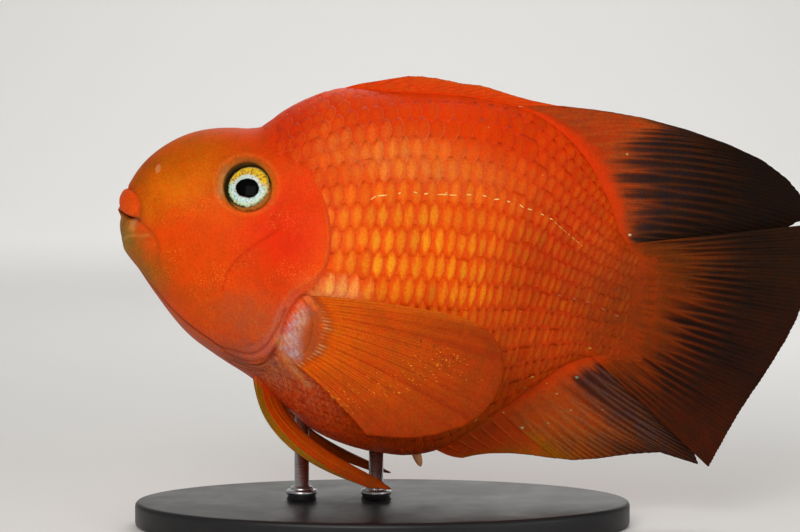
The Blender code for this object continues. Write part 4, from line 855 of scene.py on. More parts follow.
def eye_colour(behind, above):
    """The eye's colour at a place behind and above its middle."""
    turn = np.arctan2(above, behind)
    away = np.hypot(behind - 0.33, (above - 0.15) / 1.05)
    # Thin bands that run out from the pupil, each a little different
    band = ripple(turn * 10, away, 5, 0.7)
    fleck = ripple(behind, above, 1.1, 2.1)
    iris = 1 - ramp(away + 0.10 * band, 5.75, 6.05)
    gold = ramp(np.hypot(behind - 0.33, above + 0.9) + 0.25 * fleck, 3.9, 4.8) * ramp(above + 0.4 * fleck, -0.6, 2.0)
    pupil = (np.abs((behind - 0.55) / 3.45) ** 2.2 + np.abs((above + 0.90) / 2.85) ** 2.2) ** (1 / 2.2)
    pupil = pupil + 0.018 * np.sin(3 * turn + 1) + 0.014 * np.sin(7 * turn) + 0.010 * np.sin(17 * turn)
    return blend(
        # Dark above and at the front, olive skin below and behind, past a thin dark line
        (40, 38, 12), (ramp(np.cos(turn + 1.0), 0.1, 0.7) * ramp(np.hypot(behind, above), 6.15, 6.5), (184, 108, 40)),
        # The silver of the iris, its bluish and pinkish flecks, and yellow at its rim
        (iris, (226, 240, 230)),
        (0.75 * iris * ramp(0.6 * band + fleck - 0.3 * np.cos(turn - 0.6), -0.5, 0.6), (128, 230, 218)),
        (0.8 * iris * ramp(fleck - 0.5 * band, 0.1, 0.9), (254, 246, 234)),
        (0.5 * iris * ramp(fleck - band, 0.3, 1.0), (176, 200, 236)),
        (0.7 * iris * ramp(away, 4.8, 5.6) * ramp(fleck - 0.5 * band, -0.6, 0.4), (214, 216, 44)),
        (0.5 * iris * (1 - ramp(away, 3.6, 4.4)) * ramp(fleck, -0.3, 0.3), (236, 206, 190)),
        # The gold crescent above, and the dark line round the iris
        (0.95 * iris * gold, (236, 182, 0)), (0.7 * iris * gold * ramp(band, 0.0, 0.8), (255, 222, 24)),
        (0.7 * iris * gold * ramp(-band, 0.4, 0.9), (140, 84, 4)),
        (0.7 * iris * ramp(away - 0.3 * np.cos(turn - 0.3), 5.2, 5.8) * ramp(behind, 1.0, 3.5), (130, 112, 20)),
        (0.75 * iris * ramp(away, 5.4, 6.0) * ramp(band, -0.5, 0.4), (78, 76, 22)),
        # The pupil with its pinkish edge
        (0.55 * (1 - ramp(pupil, 1.02, 1.12)) * ramp(np.cos(turn + 2.2), -0.3, 0.6), (190, 130, 110)),
        (1 - ramp(pupil, 0.98, 1.03), (2, 2, 2)),
    )


def eye_material():
    """Wet and glassy, with a faint metal gleam and fine dark marks that run out from the pupil over the iris."""
    material, tree, _ = new_material("eye_gloss", Roughness=0.50, Specular_IOR_Level=0.02, Coat_Weight=0.03,
                                     Coat_Roughness=0.02)
    marks = grain(tree, node(tree, "UVMap", uv_map="Shape").outputs["UV"], 1.0, 6.0, 0.7, stretch=(52.0, 9.0, 1.0))
    share = graded(tree, marks, 0.52, 0.62, 0.0, 0.70)
    return finished(material, Base_Color=mixed(tree, share, attribute(tree, "Markings"), (116, 108, 50), "MULTIPLY"))


def ball_grid(rings, spokes):
    """Two angles for each point of a ball between its poles: down from the first pole, and round."""
    return np.meshgrid(np.linspace(0, math.pi, rings + 2)[1:-1], np.linspace(0, 2 * math.pi, spokes, endpoint=False),
                       indexing="ij")


eye_gloss = eye_material()
for word, side in SIDES:
    x, angle = np.array(EYE_CENTRE[0]), side_turn(*np.array(EYE_CENTRE))
    normal = body_normals(x, angle)
    rearward = np.array((1, 0, 0)) - normal * normal[0]
    rearward /= np.linalg.norm(rearward)
    upward = np.cross(rearward, normal)
    upward *= np.sign(upward[2])
    middle = body_points(x, angle) - normal * EYE_SUNK
    dome, spoke = ball_grid(EYE_RINGS, EYE_SPOKES)
    dome, spoke = np.append(dome, (0, math.pi)), np.append(spoke, (0, 0))
    out = np.sin(dome) * EYE_RADIUS
    out[-2:] = 0
    behind, above = out * np.cos(spoke), out * np.sin(spoke)
    ball = middle + np.stack([np.cos(dome) * EYE_DEPTH_RADIUS, behind, above], axis=-1) @ (normal, rearward, upward)
    eye = add_piece(f"eyeball_{word}", in_place(ball * (1, -side, 1)), tube_faces(EYE_RINGS, EYE_SPOKES, side < 0))
    colours = eye_colour(behind, above)
    colours[-1] = tint((40, 44, 20))
    add_colours(eye, "Markings", colours)
    add_uv(eye, "Shape", np.stack([spoke / (2 * math.pi), out / EYE_RADIUS], axis=-1))
    eye.data.materials.append(eye_gloss)
    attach(eye, "root")
    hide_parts(f"eye_{word}")

# The fins
# Each is a web of thin skin between bony rays that branch towards its edge, rooted in the body.

RAY_COLUMNS = 32
# Half the thickness of the web at the root and how much less it is at the edge
WEB_HALF, WEB_THINNED = 0.28, 0.10


def ray_surface(rays, places, shares):
    """Points along each ray at these shares of its length, for places counted in rays across the fin.

    A ray is the quadratic curve from its base to its tip that leans towards its bend on the way.
    """
    index = np.arange(len(rays[0]))
    base, bend, tip = (np.stack([np.interp(places, index, n) for n in points.T], axis=-1) for points in rays)
    s = shares[..., None]
    return (1 - s) ** 2 * base + 2 * s * (1 - s) * bend + s**2 * tip


def ray_away(place, share, branches):
    """How far a place is from the nearest branch of a ray, in rays.

    From each of these shares of its length on, every branch splits in two, and the halves spread evenly.
    """
    away = np.abs(place - np.round(place))
    for k, start in enumerate(branches):
        away = np.abs(away - 0.25 / 2**k * ramp(share, start, start + 0.35))
    return away


def uneven(place, seed):
    """A value between -1 and 1 that wanders from branch to branch: a sum of four sines of the place."""
    return (0.35 * np.sin(1.7 * place + seed) + 0.3 * np.sin(5.1 * place + seed) + 0.2 * np.sin(13.7 * place + 2 * seed)
            + 0.15 * np.sin(41 * place + 3 * seed))


def add_fin(name, rays, rows, ray_height, colour, node_name, material, branches=(0.05, 0.25, 0.5), dip=0.005,
            root=-0.06, root_half=0.9, skin_share=0.10, ray_width=0.15, turned_round=False):
    """A fin as a closed sheet with both faces ridged along its rays, and its edge drawn in a little between them.

    rays is their bases, bends and tips. colour gives a colour for (place, share, on_ray), and the root takes the
    skin's own. A fin on the right is the left one turned round. Gives the left face and the right one.
    """
    rays = [np.asarray(points, float)[::-1 if turned_round else 1] for points in rays]
    last = len(rays[0]) - 1
    columns = last * RAY_COLUMNS + 1
    places = np.linspace(0, last, columns)[None, :] + np.zeros((rows, 1))
    shares = root + (1 - root) * np.linspace(0, 1, rows)[:, None] + 0 * places
    out = np.clip(shares, 0, 1)
    width = ray_width * (1 - out**0.5) + 0.045 * out
    on_ray = ridge(ray_away(places, shares, branches), np.maximum(width, 0.042))
    edge_away = ray_away(places[-1:], np.full((1, columns), 0.75), branches)
    drawn_in = dip * (np.clip(edge_away / 0.1, 0, 1) + 0.8 * (uneven(places[-1:], 2.0) + 1))
    middle = ray_surface(rays, places, shares * (1 - drawn_in * ramp(shares, 0.5, 1.0)))
    normal = np.cross(np.gradient(middle, axis=0), np.gradient(middle, axis=1))
    normal /= np.linalg.norm(normal, axis=-1, keepdims=True)
    half = WEB_HALF - WEB_THINNED * out + ray_height * on_ray * (1 - 0.75 * out)
    half = half + (root_half - half) * np.clip(1 - shares / 0.20, 0, 1) ** 2
    half = half * (1 - 0.6 * ramp(shares, 0.95, 1.0))
    faces = middle - normal * half[..., None], middle + normal * half[..., None]
    first, rim, size = grid_corners(rows, columns), rim_of(rows, columns), rows * columns
    quads = np.stack([first, first + columns, first + columns + 1, first + 1], axis=-1)
    wall = np.stack([np.roll(rim, -1), rim, size + rim, size + np.roll(rim, -1)], axis=-1)
    # A quad's corners run down the ray, across and back, so that it faces the way the normal points
    piece = add_piece(name, in_place(faces), [quads[:, ::-1], size + quads, wall])
    colours = blend(colour(last - places if turned_round else places, shares, on_ray),
                    (1 - ramp(shares, 0.0, skin_share), skin_colour(middle[..., 0], middle[..., 2])))
    add_colours(piece, "Markings", np.stack([colours] * 2))
    add_uv(piece, "Shape", np.stack([np.stack([places / last, shares], axis=-1)] * 2))
    piece.data.materials.append(material)
    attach(piece, "root")
    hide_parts(node_name)
    return sorted(faces, key=lambda face: face[..., 1].mean())


def fin_material(name, joints):
    """Thin wet web: its painted colours, with the fine cross joints of the rays."""
    thin_flesh = {**FLESH, "Subsurface_Weight": 0.05, "Subsurface_Scale": 0.0006}
    material, tree, place = new_material(name, Roughness=0.50, Specular_IOR_Level=0.05, **thin_flesh)
    shape = node(tree, "UVMap", uv_map="Shape").outputs["UV"]
    cross = node(tree, "TexWave", (("Vector", shape), ("Scale", joints), ("Distortion", 2.5), ("Detail", 2.0),
                                   ("Detail Scale", 3.0)), wave_type="BANDS", bands_direction="Y").outputs["Fac"]
    colour = mixed(tree, graded(tree, cross, 0.55, 0.95, 0.0, 0.16), attribute(tree, "Markings"), (60, 24, 8))
    height = maths(tree, "ADD", cross, grain(tree, place, 1200.0, 3.0))
    return finished(material, height, 0.12, 0.0002, Base_Color=flesh_grain(tree, place, colour))


def spread(first, last, count, ease=1.0):
    """Values from first to last, closer together near first when ease is over 1."""
    return first + (last - first) * np.linspace(0, 1, count) ** ease


def in_middle_plane(points, sway=0.0):
    """(x, z) points as 3-D ones, moved aside by sway."""
    return np.stack([points[:, 0], sway + 0 * points[:, 0], points[:, 1]], axis=-1)


def middle_rays(line, root_ends, edge, count, bow, ease=1.0, sway=None, aside=0.0):
    """Bases, bends and tips of rays rooted along the back or the belly, between two distances.

    Without sway the rays are spines, which bow up by a fixed height. With it they trail aside the more the longer
    they are, and bow by a share of their length.
    """
    distances = spread(*root_ends, count, ease)
    roots = np.stack([distances, line(distances)], axis=-1)
    tips = curve(edge, count)
    reach = np.linalg.norm(tips - roots, axis=1)
    middle = (roots + tips) / 2 + np.stack([0 * reach, bow + 0 * reach if sway is None else bow * reach], axis=-1)
    swayed = 0.0 if sway is None else sway * reach / reach.max() + aside
    return in_middle_plane(roots), in_middle_plane(middle, 0.75 * aside), in_middle_plane(tips, swayed)


web = fin_material("fin_web", 26.0)
spine_web = fin_material("spine_web", 10.0)

# The spiny back fin
# Fifteen stiff spines with a fleshy web, folded low along the back, so that only a narrow ribbon shows.
BACK_SPINES, BACK_SPINE_ROOTS, BACK_SPINE_BOW = 15, (60, 112.2), 0.8
BACK_SPINE_EDGE = (
    (70, 51.5), (78.5, 54.9), (86.5, 55.9), (94.5, 55.7), (100, 56.2), (106, 55.6), (116, 54.6), (127.5, 54.6),
)


def spine_colour(place, share, on_ray):
    """Orange-tan, paler along the spines and duller at the edge."""
    return blend((218, 76, 12), (0.5 * on_ray, (232, 112, 40)), (0.7 * ramp(share, 0.5, 1.0), (200, 92, 24)))


add_fin("spiny_back_fin", middle_rays(back, BACK_SPINE_ROOTS, BACK_SPINE_EDGE, BACK_SPINES, BACK_SPINE_BOW), 24, 0.4,
        spine_colour, "back_fin_spines", spine_web, branches=(), dip=0.03, root=-0.12, root_half=1.1)

# The soft back fin
# Thirteen branching rays trail back over the tail from an orange root, with dusky, nearly black webs.
BACK_RAYS, BACK_RAY_ROOTS, BACK_RAY_BOW, BACK_FIN_SWAY = 13, (112.5, 153.5), 0.09, 4.5
BACK_RAY_EDGE = (
    (129, 54.5), (140.5, 55.6), (152, 55.8), (164.5, 54.9), (177, 53.1), (188.2, 50.4), (197.4, 46), (203.4, 41.1),
    (205.6, 36.2), (199, 31), (188, 26.8), (176.5, 22.2), (166.5, 18.4),
)


def back_fin_colour(place, share, on_ray):
    """Orange at the root, further out nearly black webs with a painted grey sheen, and rays that fade from orange to
    brown.
    """
    ragged = uneven(place, 1.0)
    # In front, the orange of the root runs far out along the rays
    in_front = 1 - ramp(place, 2.0, 6.0)
    out = share - 0.68 * in_front + 0.10 * ragged + 0.06 * ramp(place, 5.0, 11.0)
    root = (178, 58, 4)
    rays = blend(root, (0.7 * ramp(share + 0.05 * ragged, 0.02, 0.14), (178, 88, 34)),
                 (ramp(out, 0.10, 0.34), (84, 46, 18)), (ramp(out, 0.36, 0.80), (30, 20, 10)))
    return blend(root, (0.6 * ramp(out, 0.00, 0.10) + 0.5 * in_front * ramp(share, 0.05, 0.15), (140, 76, 38)),
                 (ramp(out, 0.06, 0.22), (92, 48, 24)), (ramp(out, 0.12, 0.36), (17, 13, 9)),
                 # A painted violet-grey sheen on the dark webs
                 (0.4 * ramp(out, 0.14, 0.24) * (1 - ramp(out, 0.35, 0.6)), (46, 40, 48)), (0.6 * on_ray, rays))


back_faces = add_fin(
    "soft_back_fin", middle_rays(back, BACK_RAY_ROOTS, BACK_RAY_EDGE, BACK_RAYS, BACK_RAY_BOW, 0.85, BACK_FIN_SWAY),
    70, 0.22, back_fin_colour, "back_fin_rays", web, branches=(0.06, 0.45), ray_width=0.22)

# The spiny belly fin
# Seven short spines folded back along the belly, in a fleshy orange web.
BELLY_SPINES, BELLY_SPINE_ROOTS, BELLY_SPINE_BOW = 7, (108, 124.8), -1.2
BELLY_SPINE_EDGE = ((116.5, -55.5), (121.5, -53.4), (127.5, -52), (135, -51), (144.5, -50.6))


def belly_spine_colour(place, share, on_ray):
    """Dull orange with an olive edge."""
    return blend((170, 66, 14), (0.4 * on_ray, (196, 96, 28)), (ramp(share, 0.5, 1.0), (150, 88, 14)))


add_fin("spiny_belly_fin", middle_rays(belly, BELLY_SPINE_ROOTS, BELLY_SPINE_EDGE, BELLY_SPINES, BELLY_SPINE_BOW), 24,
        0.4, belly_spine_colour, "belly_fin_spines", spine_web, branches=(), dip=0.015, root=-0.12, root_half=1.1)

# The soft belly fin
# Ten branching rays: a pink, scaly root, purple-grey rays, black webs at the rear and an olive lower margin.
BELLY_RAYS, BELLY_RAY_ROOTS, BELLY_RAY_BOW, BELLY_FIN_SWAY, BELLY_FIN_ASIDE = 10, (124.4, 150), -0.06, 4, 0.8
BELLY_RAY_EDGE = (
    (142.5, -50.7), (149.5, -50.3), (157.5, -48.2), (166.5, -45.2), (175.5, -43), (187.8, -44.5), (184.6, -39.4),
    (179.5, -34.6), (172.7, -29), (164, -22.4),
)


def belly_fin_colour(place, share, on_ray):
    """Pinkish root, brown webs that turn black at the rear, grey-violet rays and an olive front edge."""
    ragged = uneven(place, 4.0)
    rear = ramp(place + 0.6 * ragged + 2.4 * share, 3.6, 6.6)
    behind = ramp(place, 1.5, 3.5)
    root = (166, 74, 24)
    rays = blend(root, (ramp(share, 0.10, 0.4), (164, 100, 46)), (0.85 * rear * ramp(share, 0.03, 0.18), (82, 67, 68)),
                 (0.7 * behind * ramp(share, 0.6, 1.0), (66, 38, 16)))
    return blend(root, (ramp(share + 0.06 * ragged, 0.40, 0.75), (118, 58, 16)),
                 (0.7 * ramp(share + 0.08 * ragged, 0.75, 1.0) * behind, (48, 26, 12)),
                 (0.9 * rear * ramp(share + 0.08 * ragged, 0.02, 0.16), (26, 23, 24)), (0.7 * on_ray, rays),
                 (0.9 * (1 - ramp(place, 0.3, 1.6)) * ramp(share, 0.3, 0.6), (160, 102, 14)))


belly_faces = add_fin(
    "soft_belly_fin", middle_rays(belly, BELLY_RAY_ROOTS, BELLY_RAY_EDGE, BELLY_RAYS, BELLY_RAY_BOW,
                                  sway=BELLY_FIN_SWAY, aside=BELLY_FIN_ASIDE),
    60, 0.22, belly_fin_colour, "belly_fin_rays", web, branches=(0.10, 0.45), skin_share=0.12, ray_width=0.28)

# The tail fin
# Sixteen branching rays fan out from the root of the tail, orange there and red-brown at the edge.
TAIL_RAYS, TAIL_SWAY, TAIL_BEND_AT = 16, -3.5, 0.45
TAIL_ROOT = (
    (150, -18.6), (154, -17), (159, -13.8), (162, -8), (163, -1), (162.4, 6), (160, 11.2), (155.5, 14.6), (151.2, 17.2),
)
TAIL_EDGE = (
    (189.5, -43.8), (192.5, -34), (196.5, -22.5), (201.5, -10.5), (205.8, 2), (208, 14), (208.5, 25), (206.5, 34.5),
)


def tail_colour(place, share, on_ray):
    """Brown-orange at the root, olive above and red-brown below, dark further out, with black dashes half way."""
    ragged = uneven(place, 7.0)
    high = ramp(place, 7.0, 13.0)
    root = (134, 58, 10)
    near = blend((100, 44, 8), (high, (98, 50, 10)))
    middle = tint((36, 17, 6))
    far = middle + (tint((34, 22, 10)) - middle) * high[..., None]
    far = far + (tint((56, 24, 6)) - middle) * (1 - ramp(place, 1.0, 6.0)[..., None])
    dash = ramp(share + 0.14 * ragged, 0.16, 0.34) * (1 - ramp(share + 0.16 * ragged, 0.62, 0.95))
    rays = blend(root, (ramp(share, 0.0, 0.25), near * 1.35), (ramp(share, 0.25, 0.70), far * 1.3))
    return blend(root, (ramp(share, -0.02, 0.2), near), (ramp(share - 0.18 * high + 0.18 * ragged, 0.16, 0.44), far),
                 (0.85 * dash * ramp(place, 1.5, 4.0) * ramp(uneven(place, 9.0), -0.7, 0.3), (11, 8, 6)),
                 (0.7 * on_ray, rays))


roots, edge = curve(TAIL_ROOT, TAIL_RAYS), curve(TAIL_EDGE, TAIL_RAYS)
rays = in_middle_plane(roots), in_middle_plane(roots + (edge - roots) * TAIL_BEND_AT), in_middle_plane(edge, TAIL_SWAY)
add_fin("fan_tail_fin", rays, 80, 0.24, tail_colour, "tail_fin", web, root=-0.12, root_half=1.6, branches=(0.10, 0.45),
        skin_share=0.07, dip=0.003, ray_width=0.24)

# The breast fins
# Thirteen soft rays from a curved root behind each gill cover, lying back along the side.
BREAST_RAYS, BREAST_SUNK, BREAST_STAND_OFF, BREAST_BEND_AT, BREAST_BEND_UP = 13, 0.6, 3.6, 0.45, 2
BREAST_ROOT = ((62, -14), (66, -18), (67.4, -23.5), (66.4, -29.5), (62, -34.5))
# The fin's edge: distance from the snout, height and distance from the middle
BREAST_EDGE = (
    (106, -11.2, 33.5), (112.9, -12.8, 34.5), (118.4, -16.9, 35.2), (120.8, -22.5, 36), (120.7, -29.5, 36.5),
    (118, -36.2, 36.5), (112.4, -42, 35.8), (103.6, -46.6, 34.5), (95.5, -49, 33), (86, -50.1, 31.2),
)


def breast_colour(place, share, on_ray):
    """Clear orange-brown with paler rays, whitish at their roots and duller towards the rear edge."""
    between = np.abs(place - np.round(place))
    near_root = ramp(share, 0.05, 0.2)
    fringe = share + 0.030 * uneven(place, 3.0)
    webs = blend((186, 74, 2), (0.9 * (1 - ramp(share, 0.10, 0.40)) * ramp(share, 0.04, 0.10), (214, 96, 2)),
                 (0.8 * ramp(share, 0.40, 0.85), (146, 52, 2)), (0.7 * ramp(share, 0.8, 1.0), (138, 50, 2)),
                 (0.8 * (1 - ramp(place, 0.0, 2.2)) * near_root, (214, 108, 14)),
                 (0.5 * ramp(between, 0.36, 0.48) * near_root, (150, 44, 0)))
    rays = blend(webs, (0.6 * (1 - 0.8 * share), (230, 118, 12)))
    pale = on_ray * ramp(place, 1.5, 3.5) * (1 - ramp(fringe, 0.02, 0.07)) * ramp(uneven(place, 6.0), -0.9, 0.4)
    return blend(webs, (0.8 * on_ray * ramp(uneven(place, 5.0), -0.9, 0.3), rays),
                 (0.85 * (1 - ramp(fringe, 0.03, 0.07)), (160, 76, 34)), (0.8 * pale, (222, 166, 112)))


breast_faces = {}
for word, side in SIDES:
    x, z = curve(BREAST_ROOT, BREAST_RAYS).T
    angle = side_turn(x, z)
    starts = (body_points(x, angle) + body_normals(x, angle) * BREAST_SUNK) * (1, -side, 1)
    tips = curve(BREAST_EDGE, BREAST_RAYS)[:, [0, 2, 1]] * (1, side, 1)
    bends = starts + (tips - starts) * BREAST_BEND_AT + (0, 0, BREAST_BEND_UP)
    bends[:, 1] = side * (np.abs(starts[:, 1]) + BREAST_STAND_OFF)
    breast_faces[side] = add_fin(
        f"breast_fin_web_{word}", (starts, bends, tips), 60, 0.13, breast_colour, f"breast_fin_{word}", web,
        branches=(-0.35, 0.03, 0.35), dip=0.0015, root_half=0.5, skin_share=0.02, turned_round=side > 0)

# The pelvic fins
# Two soft blades under the breast, each with a stout front ray and a trailing point.
PELVIC_RAYS = 6
# The root's distance from the snout and from the middle, the tips of the rays, and the first and the last bend
PELVIC_ROOT = ((50, 10.5), (55, 7.4), (60, 4))
PELVIC_EDGE = (
    (82.5, 17, -66.2), (90.5, 17.5, -67.5), (97.5, 15.8, -66.8), (93, 13.5, -65), (86.5, 11.2, -63.5), (79, 9, -62),
)
PELVIC_BENDS = ((54.5, 15.8, -61.2), (65, 8.8, -56))


def pelvic_colour(place, share, on_ray):
    """An olive-yellow front, a red line behind it, an orange blade and a clear dusky rear."""
    return blend((178, 74, 4), (0.5 * on_ray, (192, 90, 16)), (1 - ramp(place, 0.7, 1.0), (140, 106, 22)),
                 (0.8 * ridge(place - 1.05, 0.10), (196, 48, 0)), (0.6 * ramp(place, 3.2, 4.6), (72, 34, 12)),
                 (0.6 * ramp(share, 0.55, 1.0), (80, 42, 12)))


for word, side in SIDES:
    x, off = curve(PELVIC_ROOT, PELVIC_RAYS).T
    # The height of the belly's surface that far off the middle
    deep = np.sqrt(1 - (off / half_width(x)) ** (2 / belly_keel(x)))
    starts = np.stack([x, off, widest_level(x) - (widest_level(x) - belly(x)) * deep], axis=-1)
    bends = np.linspace(*np.array(PELVIC_BENDS), PELVIC_RAYS)
    rays = [np.array(points) * (1, side, 1) for points in (starts, bends, PELVIC_EDGE)]
    add_fin(f"pelvic_fin_web_{word}", rays, 60, 0.2, pelvic_colour, f"pelvic_fin_{word}", web, branches=(0.3, 0.6),
            dip=0.010, turned_round=side > 0)

# The lateral line and the small marks
# Pale dashes stand along each side, one on a scale, and small raised spots of pigment on breast fin, belly and back.

BEAD_RINGS, BEAD_SPOKES, BEAD_HEIGHT, FLECK_HEIGHT = 4, 8, 0.12, 0.10


def unit(ways):
    """The same directions with a length of 1."""
    return ways / np.linalg.norm(ways, axis=1, keepdims=True)


def add_beads(name, centres, along, out, half_long, half_wide, height, colours):
    """Low domes in one piece: each an ellipsoid with half sizes along, across and out of the surface."""
    out = unit(out)
    along = unit(along - out * (along * out).sum(axis=1, keepdims=True))
    axes = np.stack([along, np.cross(out, along), out], axis=1)
    polar, spoke = ball_grid(BEAD_RINGS, BEAD_SPOKES)
    ball = np.stack([np.cos(polar), np.sin(polar) * np.cos(spoke), np.sin(polar) * np.sin(spoke)], axis=-1)
    ball = np.concatenate([ball.reshape(-1, 3), [(1, 0, 0), (-1, 0, 0)]])
    sizes = np.stack([half_long, half_wide, height + 0 * half_long], axis=-1)[:, None]
    points = centres[:, None] + np.einsum("npk,nkc->npc", ball[None] * sizes, axes)
    faces = repeated(tube_faces(BEAD_RINGS, BEAD_SPOKES), len(centres), len(ball), True)
    piece = add_piece(name, in_place(points), faces)
    add_colours(piece, "Markings", np.repeat(colours[:, None], len(ball), axis=1))
    piece.data.materials.append(pigment)
    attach(piece, "root")


def on_face(face, x, z):
    """The places of a fin's face nearest to (x, z) seen from the side, and the way its rays run there."""
    away = (face[None, ..., 0] - x[:, None, None]) ** 2 + (face[None, ..., 2] - z[:, None, None]) ** 2
    row, column = np.unravel_index(away.reshape(len(x), -1).argmin(axis=1), face.shape[:2])
    row = np.clip(row, 1, face.shape[0] - 2)
    return face[row, column], face[row + 1, column] - face[row - 1, column]


def joined(*parts):
    """One list from (value or values, count) parts."""
    return np.concatenate([values + np.zeros(count) for values, count in parts])


def painted(*parts):
    """Colours for one list of marks from (levels, count) parts."""
    return np.concatenate([np.tile(tint(levels), (count, 1)) for levels, count in parts])


material, tree, _ = new_material("pigment", Roughness=0.45, Specular_IOR_Level=0.25)
pigment = finished(material, Base_Color=attribute(tree, "Markings"))
# The bold dashes of the lateral line: place, half length, half width, and tilt in degrees
LINE_MARKS = (
    (74.8, 17.3, 1.1, 0.15, 46), (77.1, 18.4, 1.5, 0.22, 16), (82, 20, 0.4, 0.25, 40), (86.5, 21.1, 0.6, 0.19, 0),
    (89.6, 21.3, 0.6, 0.25, 20), (94.4, 22, 1.6, 0.17, 9), (95.3, 22.6, 0.5, 0.12, 48), (97.4, 22.4, 1.2, 0.16, 9),
    (102, 23.4, 0.8, 0.2, 11), (106.6, 23.9, 0.7, 0.2, -4), (110.3, 23.6, 0.9, 0.22, 14), (113.9, 23.6, 0.5, 0.22, -5),
    (118, 23, 0.8, 0.18, -26), (120.6, 22.5, 0.8, 0.18, -4), (124.6, 21.7, 0.6, 0.16, -15),
    (127.5, 20.9, 0.6, 0.18, -14),
)
LINE_END = ((127.5, 20.9), (131.6, 18.5), (139.3, 14.2))
LOW_MARKS = ((134.4, -0.9), (139, -1.1), (143.5, -1.3), (148.5, -2.7), (153.1, -4))
# Gold flecks in streaks along the lower rays of the breast fin, and fine black specks above them
FLECKS, SPECKS, STREAKS = 170, 60, 14
FLECK_START, FLECK_STEP, FLECK_SLOPE = (74, -44), (2.6, 1.6), -0.62
SPECK_MIDDLE, SPECK_SLOPE = (99, -21.8), -0.30

for word, side in SIDES:
    # Bold dashes to two thirds of the way along, then finer ones closer together, and dim ones low at the rear
    bold_x, bold_z, bold_half, bold_width, bold_tilt = np.array(LINE_MARKS).T
    fine = np.arange(129.2, 139.5, 1.5)
    low_x, low_z = np.array(LOW_MARKS).T
    bold, few, low = len(bold_x), len(fine), len(low_x)
    x, z = np.concatenate([bold_x, fine, low_x]), np.concatenate([bold_z, read(LINE_END, fine), low_z])
    slope = np.tan(np.radians(joined((bold_tilt, bold), (-31, few), (-12, low))))
    half = joined((bold_half, bold), (random.uniform(0.5, 0.9, few), few), (0.7, low))
    width = joined((bold_width, bold), (random.uniform(0.09, 0.15, few), few), (0.15, low))
    angle = side_turn(x, z)
    centre = body_points(x, angle)
    ahead = body_points(x + 0.5, side_turn(x + 0.5, z + slope * 0.5)) - centre
    flip = np.array((1, -side, 1))
    add_beads(f"lateral_line_{word}", centre * flip, ahead * flip, body_normals(x, angle) * flip, half, width,
              BEAD_HEIGHT, painted(((250, 218, 128), bold), ((222, 162, 78), few), ((168, 116, 84), low)))

    streak = random.integers(0, STREAKS, FLECKS)
    away = random.normal(0, 2.2, FLECKS)
    x = FLECK_START[0] + FLECK_STEP[0] * streak + away
    z = FLECK_START[1] + FLECK_STEP[1] * streak + FLECK_SLOPE * away + random.normal(0, 0.4, FLECKS)
    speck_x = random.normal(SPECK_MIDDLE[0], 8.5, SPECKS)
    speck_z = SPECK_MIDDLE[1] + SPECK_SLOPE * (speck_x - SPECK_MIDDLE[0]) + random.normal(0, 2.4, SPECKS)
    spot, ray = on_face(breast_faces[side][side > 0], np.append(x, speck_x), np.append(z, speck_z))
    size = np.append(random.uniform(0.6, 1.3, FLECKS), random.uniform(0.5, 1.1, SPECKS))
    colours = painted(((226, 116, 4), FLECKS), ((40, 18, 6), SPECKS))
    colours[:FLECKS] += (tint((250, 172, 40)) - colours[:FLECKS]) * random.uniform(0, 1, FLECKS)[:, None] ** 3
    half, width = size * joined((0.42, FLECKS), (0.19, SPECKS)), size * joined((0.09, FLECKS), (0.16, SPECKS))
    add_beads(f"breast_fin_flecks_{word}", spot, ray, (0.15, side, 0) + 0 * spot, half, width, FLECK_HEIGHT, colours)

# Pale spots on the hind body, the belly fin and the back fin: place, size and colour
PALE_SPOTS = (
    ((117.4, -42.6), 0.55, (176, 140, 60)), ((125.4, -39.8), 0.6, (190, 180, 90)), ((132, -43), 0.6, (176, 176, 110)),
    ((121, -36.4), 0.4, (166, 130, 60)), ((131.6, -26.8), 0.6, (196, 140, 50)), ((130.4, -30.6), 0.5, (170, 130, 60)),
    ((136.4, -28.2), 0.35, (190, 130, 50)), ((140.4, -31), 0.45, (176, 140, 80)), ((145.6, -35.2), 0.4, (150, 130, 70)),
    ((139.6, -40.4), 0.45, (160, 130, 70)), ((147.2, -15.2), 0.5, (196, 150, 60)), ((150, -17.8), 0.35, (190, 130, 60)),
    ((145, -24.6), 0.55, (110, 150, 120)), ((155, -33.4), 0.35, (120, 110, 70)), ((147.2, 44.3), 0.55, (176, 150, 80)),
    ((152.4, 20.4), 0.6, (200, 190, 150)), ((104.2, 44), 0.5, (236, 110, 10)), ((122.6, 33.2), 0.45, (240, 104, 6)),
)
for word, side in SIDES:
    x, z = np.array([place for place, _, _ in PALE_SPOTS]).T
    on_body = ((z > belly(x) + 0.5) & (z < back(x) - 0.5))[:, None]
    angle = side_turn(x, z)
    flip = np.array((1, -side, 1))
    centre = np.where(on_body, body_points(x, angle) * flip, 0)
    out = np.where(on_body, body_normals(x, angle) * flip, (0.0, side, 0.0))
    for fin_faces, above in ((belly_faces, False), (back_faces, True)):
        here = ~on_body[:, 0] & ((z > 0) == above)
        centre[here] = on_face(fin_faces[side > 0], x[here], z[here])[0]
    size = np.array([size for _, size, _ in PALE_SPOTS]) * random.uniform(0.8, 1.1, len(x))
    add_beads(f"pale_spots_{word}", centre, (1.0, 0, 0) + 0 * centre, out, size, size * 0.75, BEAD_HEIGHT,
              painted(*((levels, 1) for _, _, levels in PALE_SPOTS)))

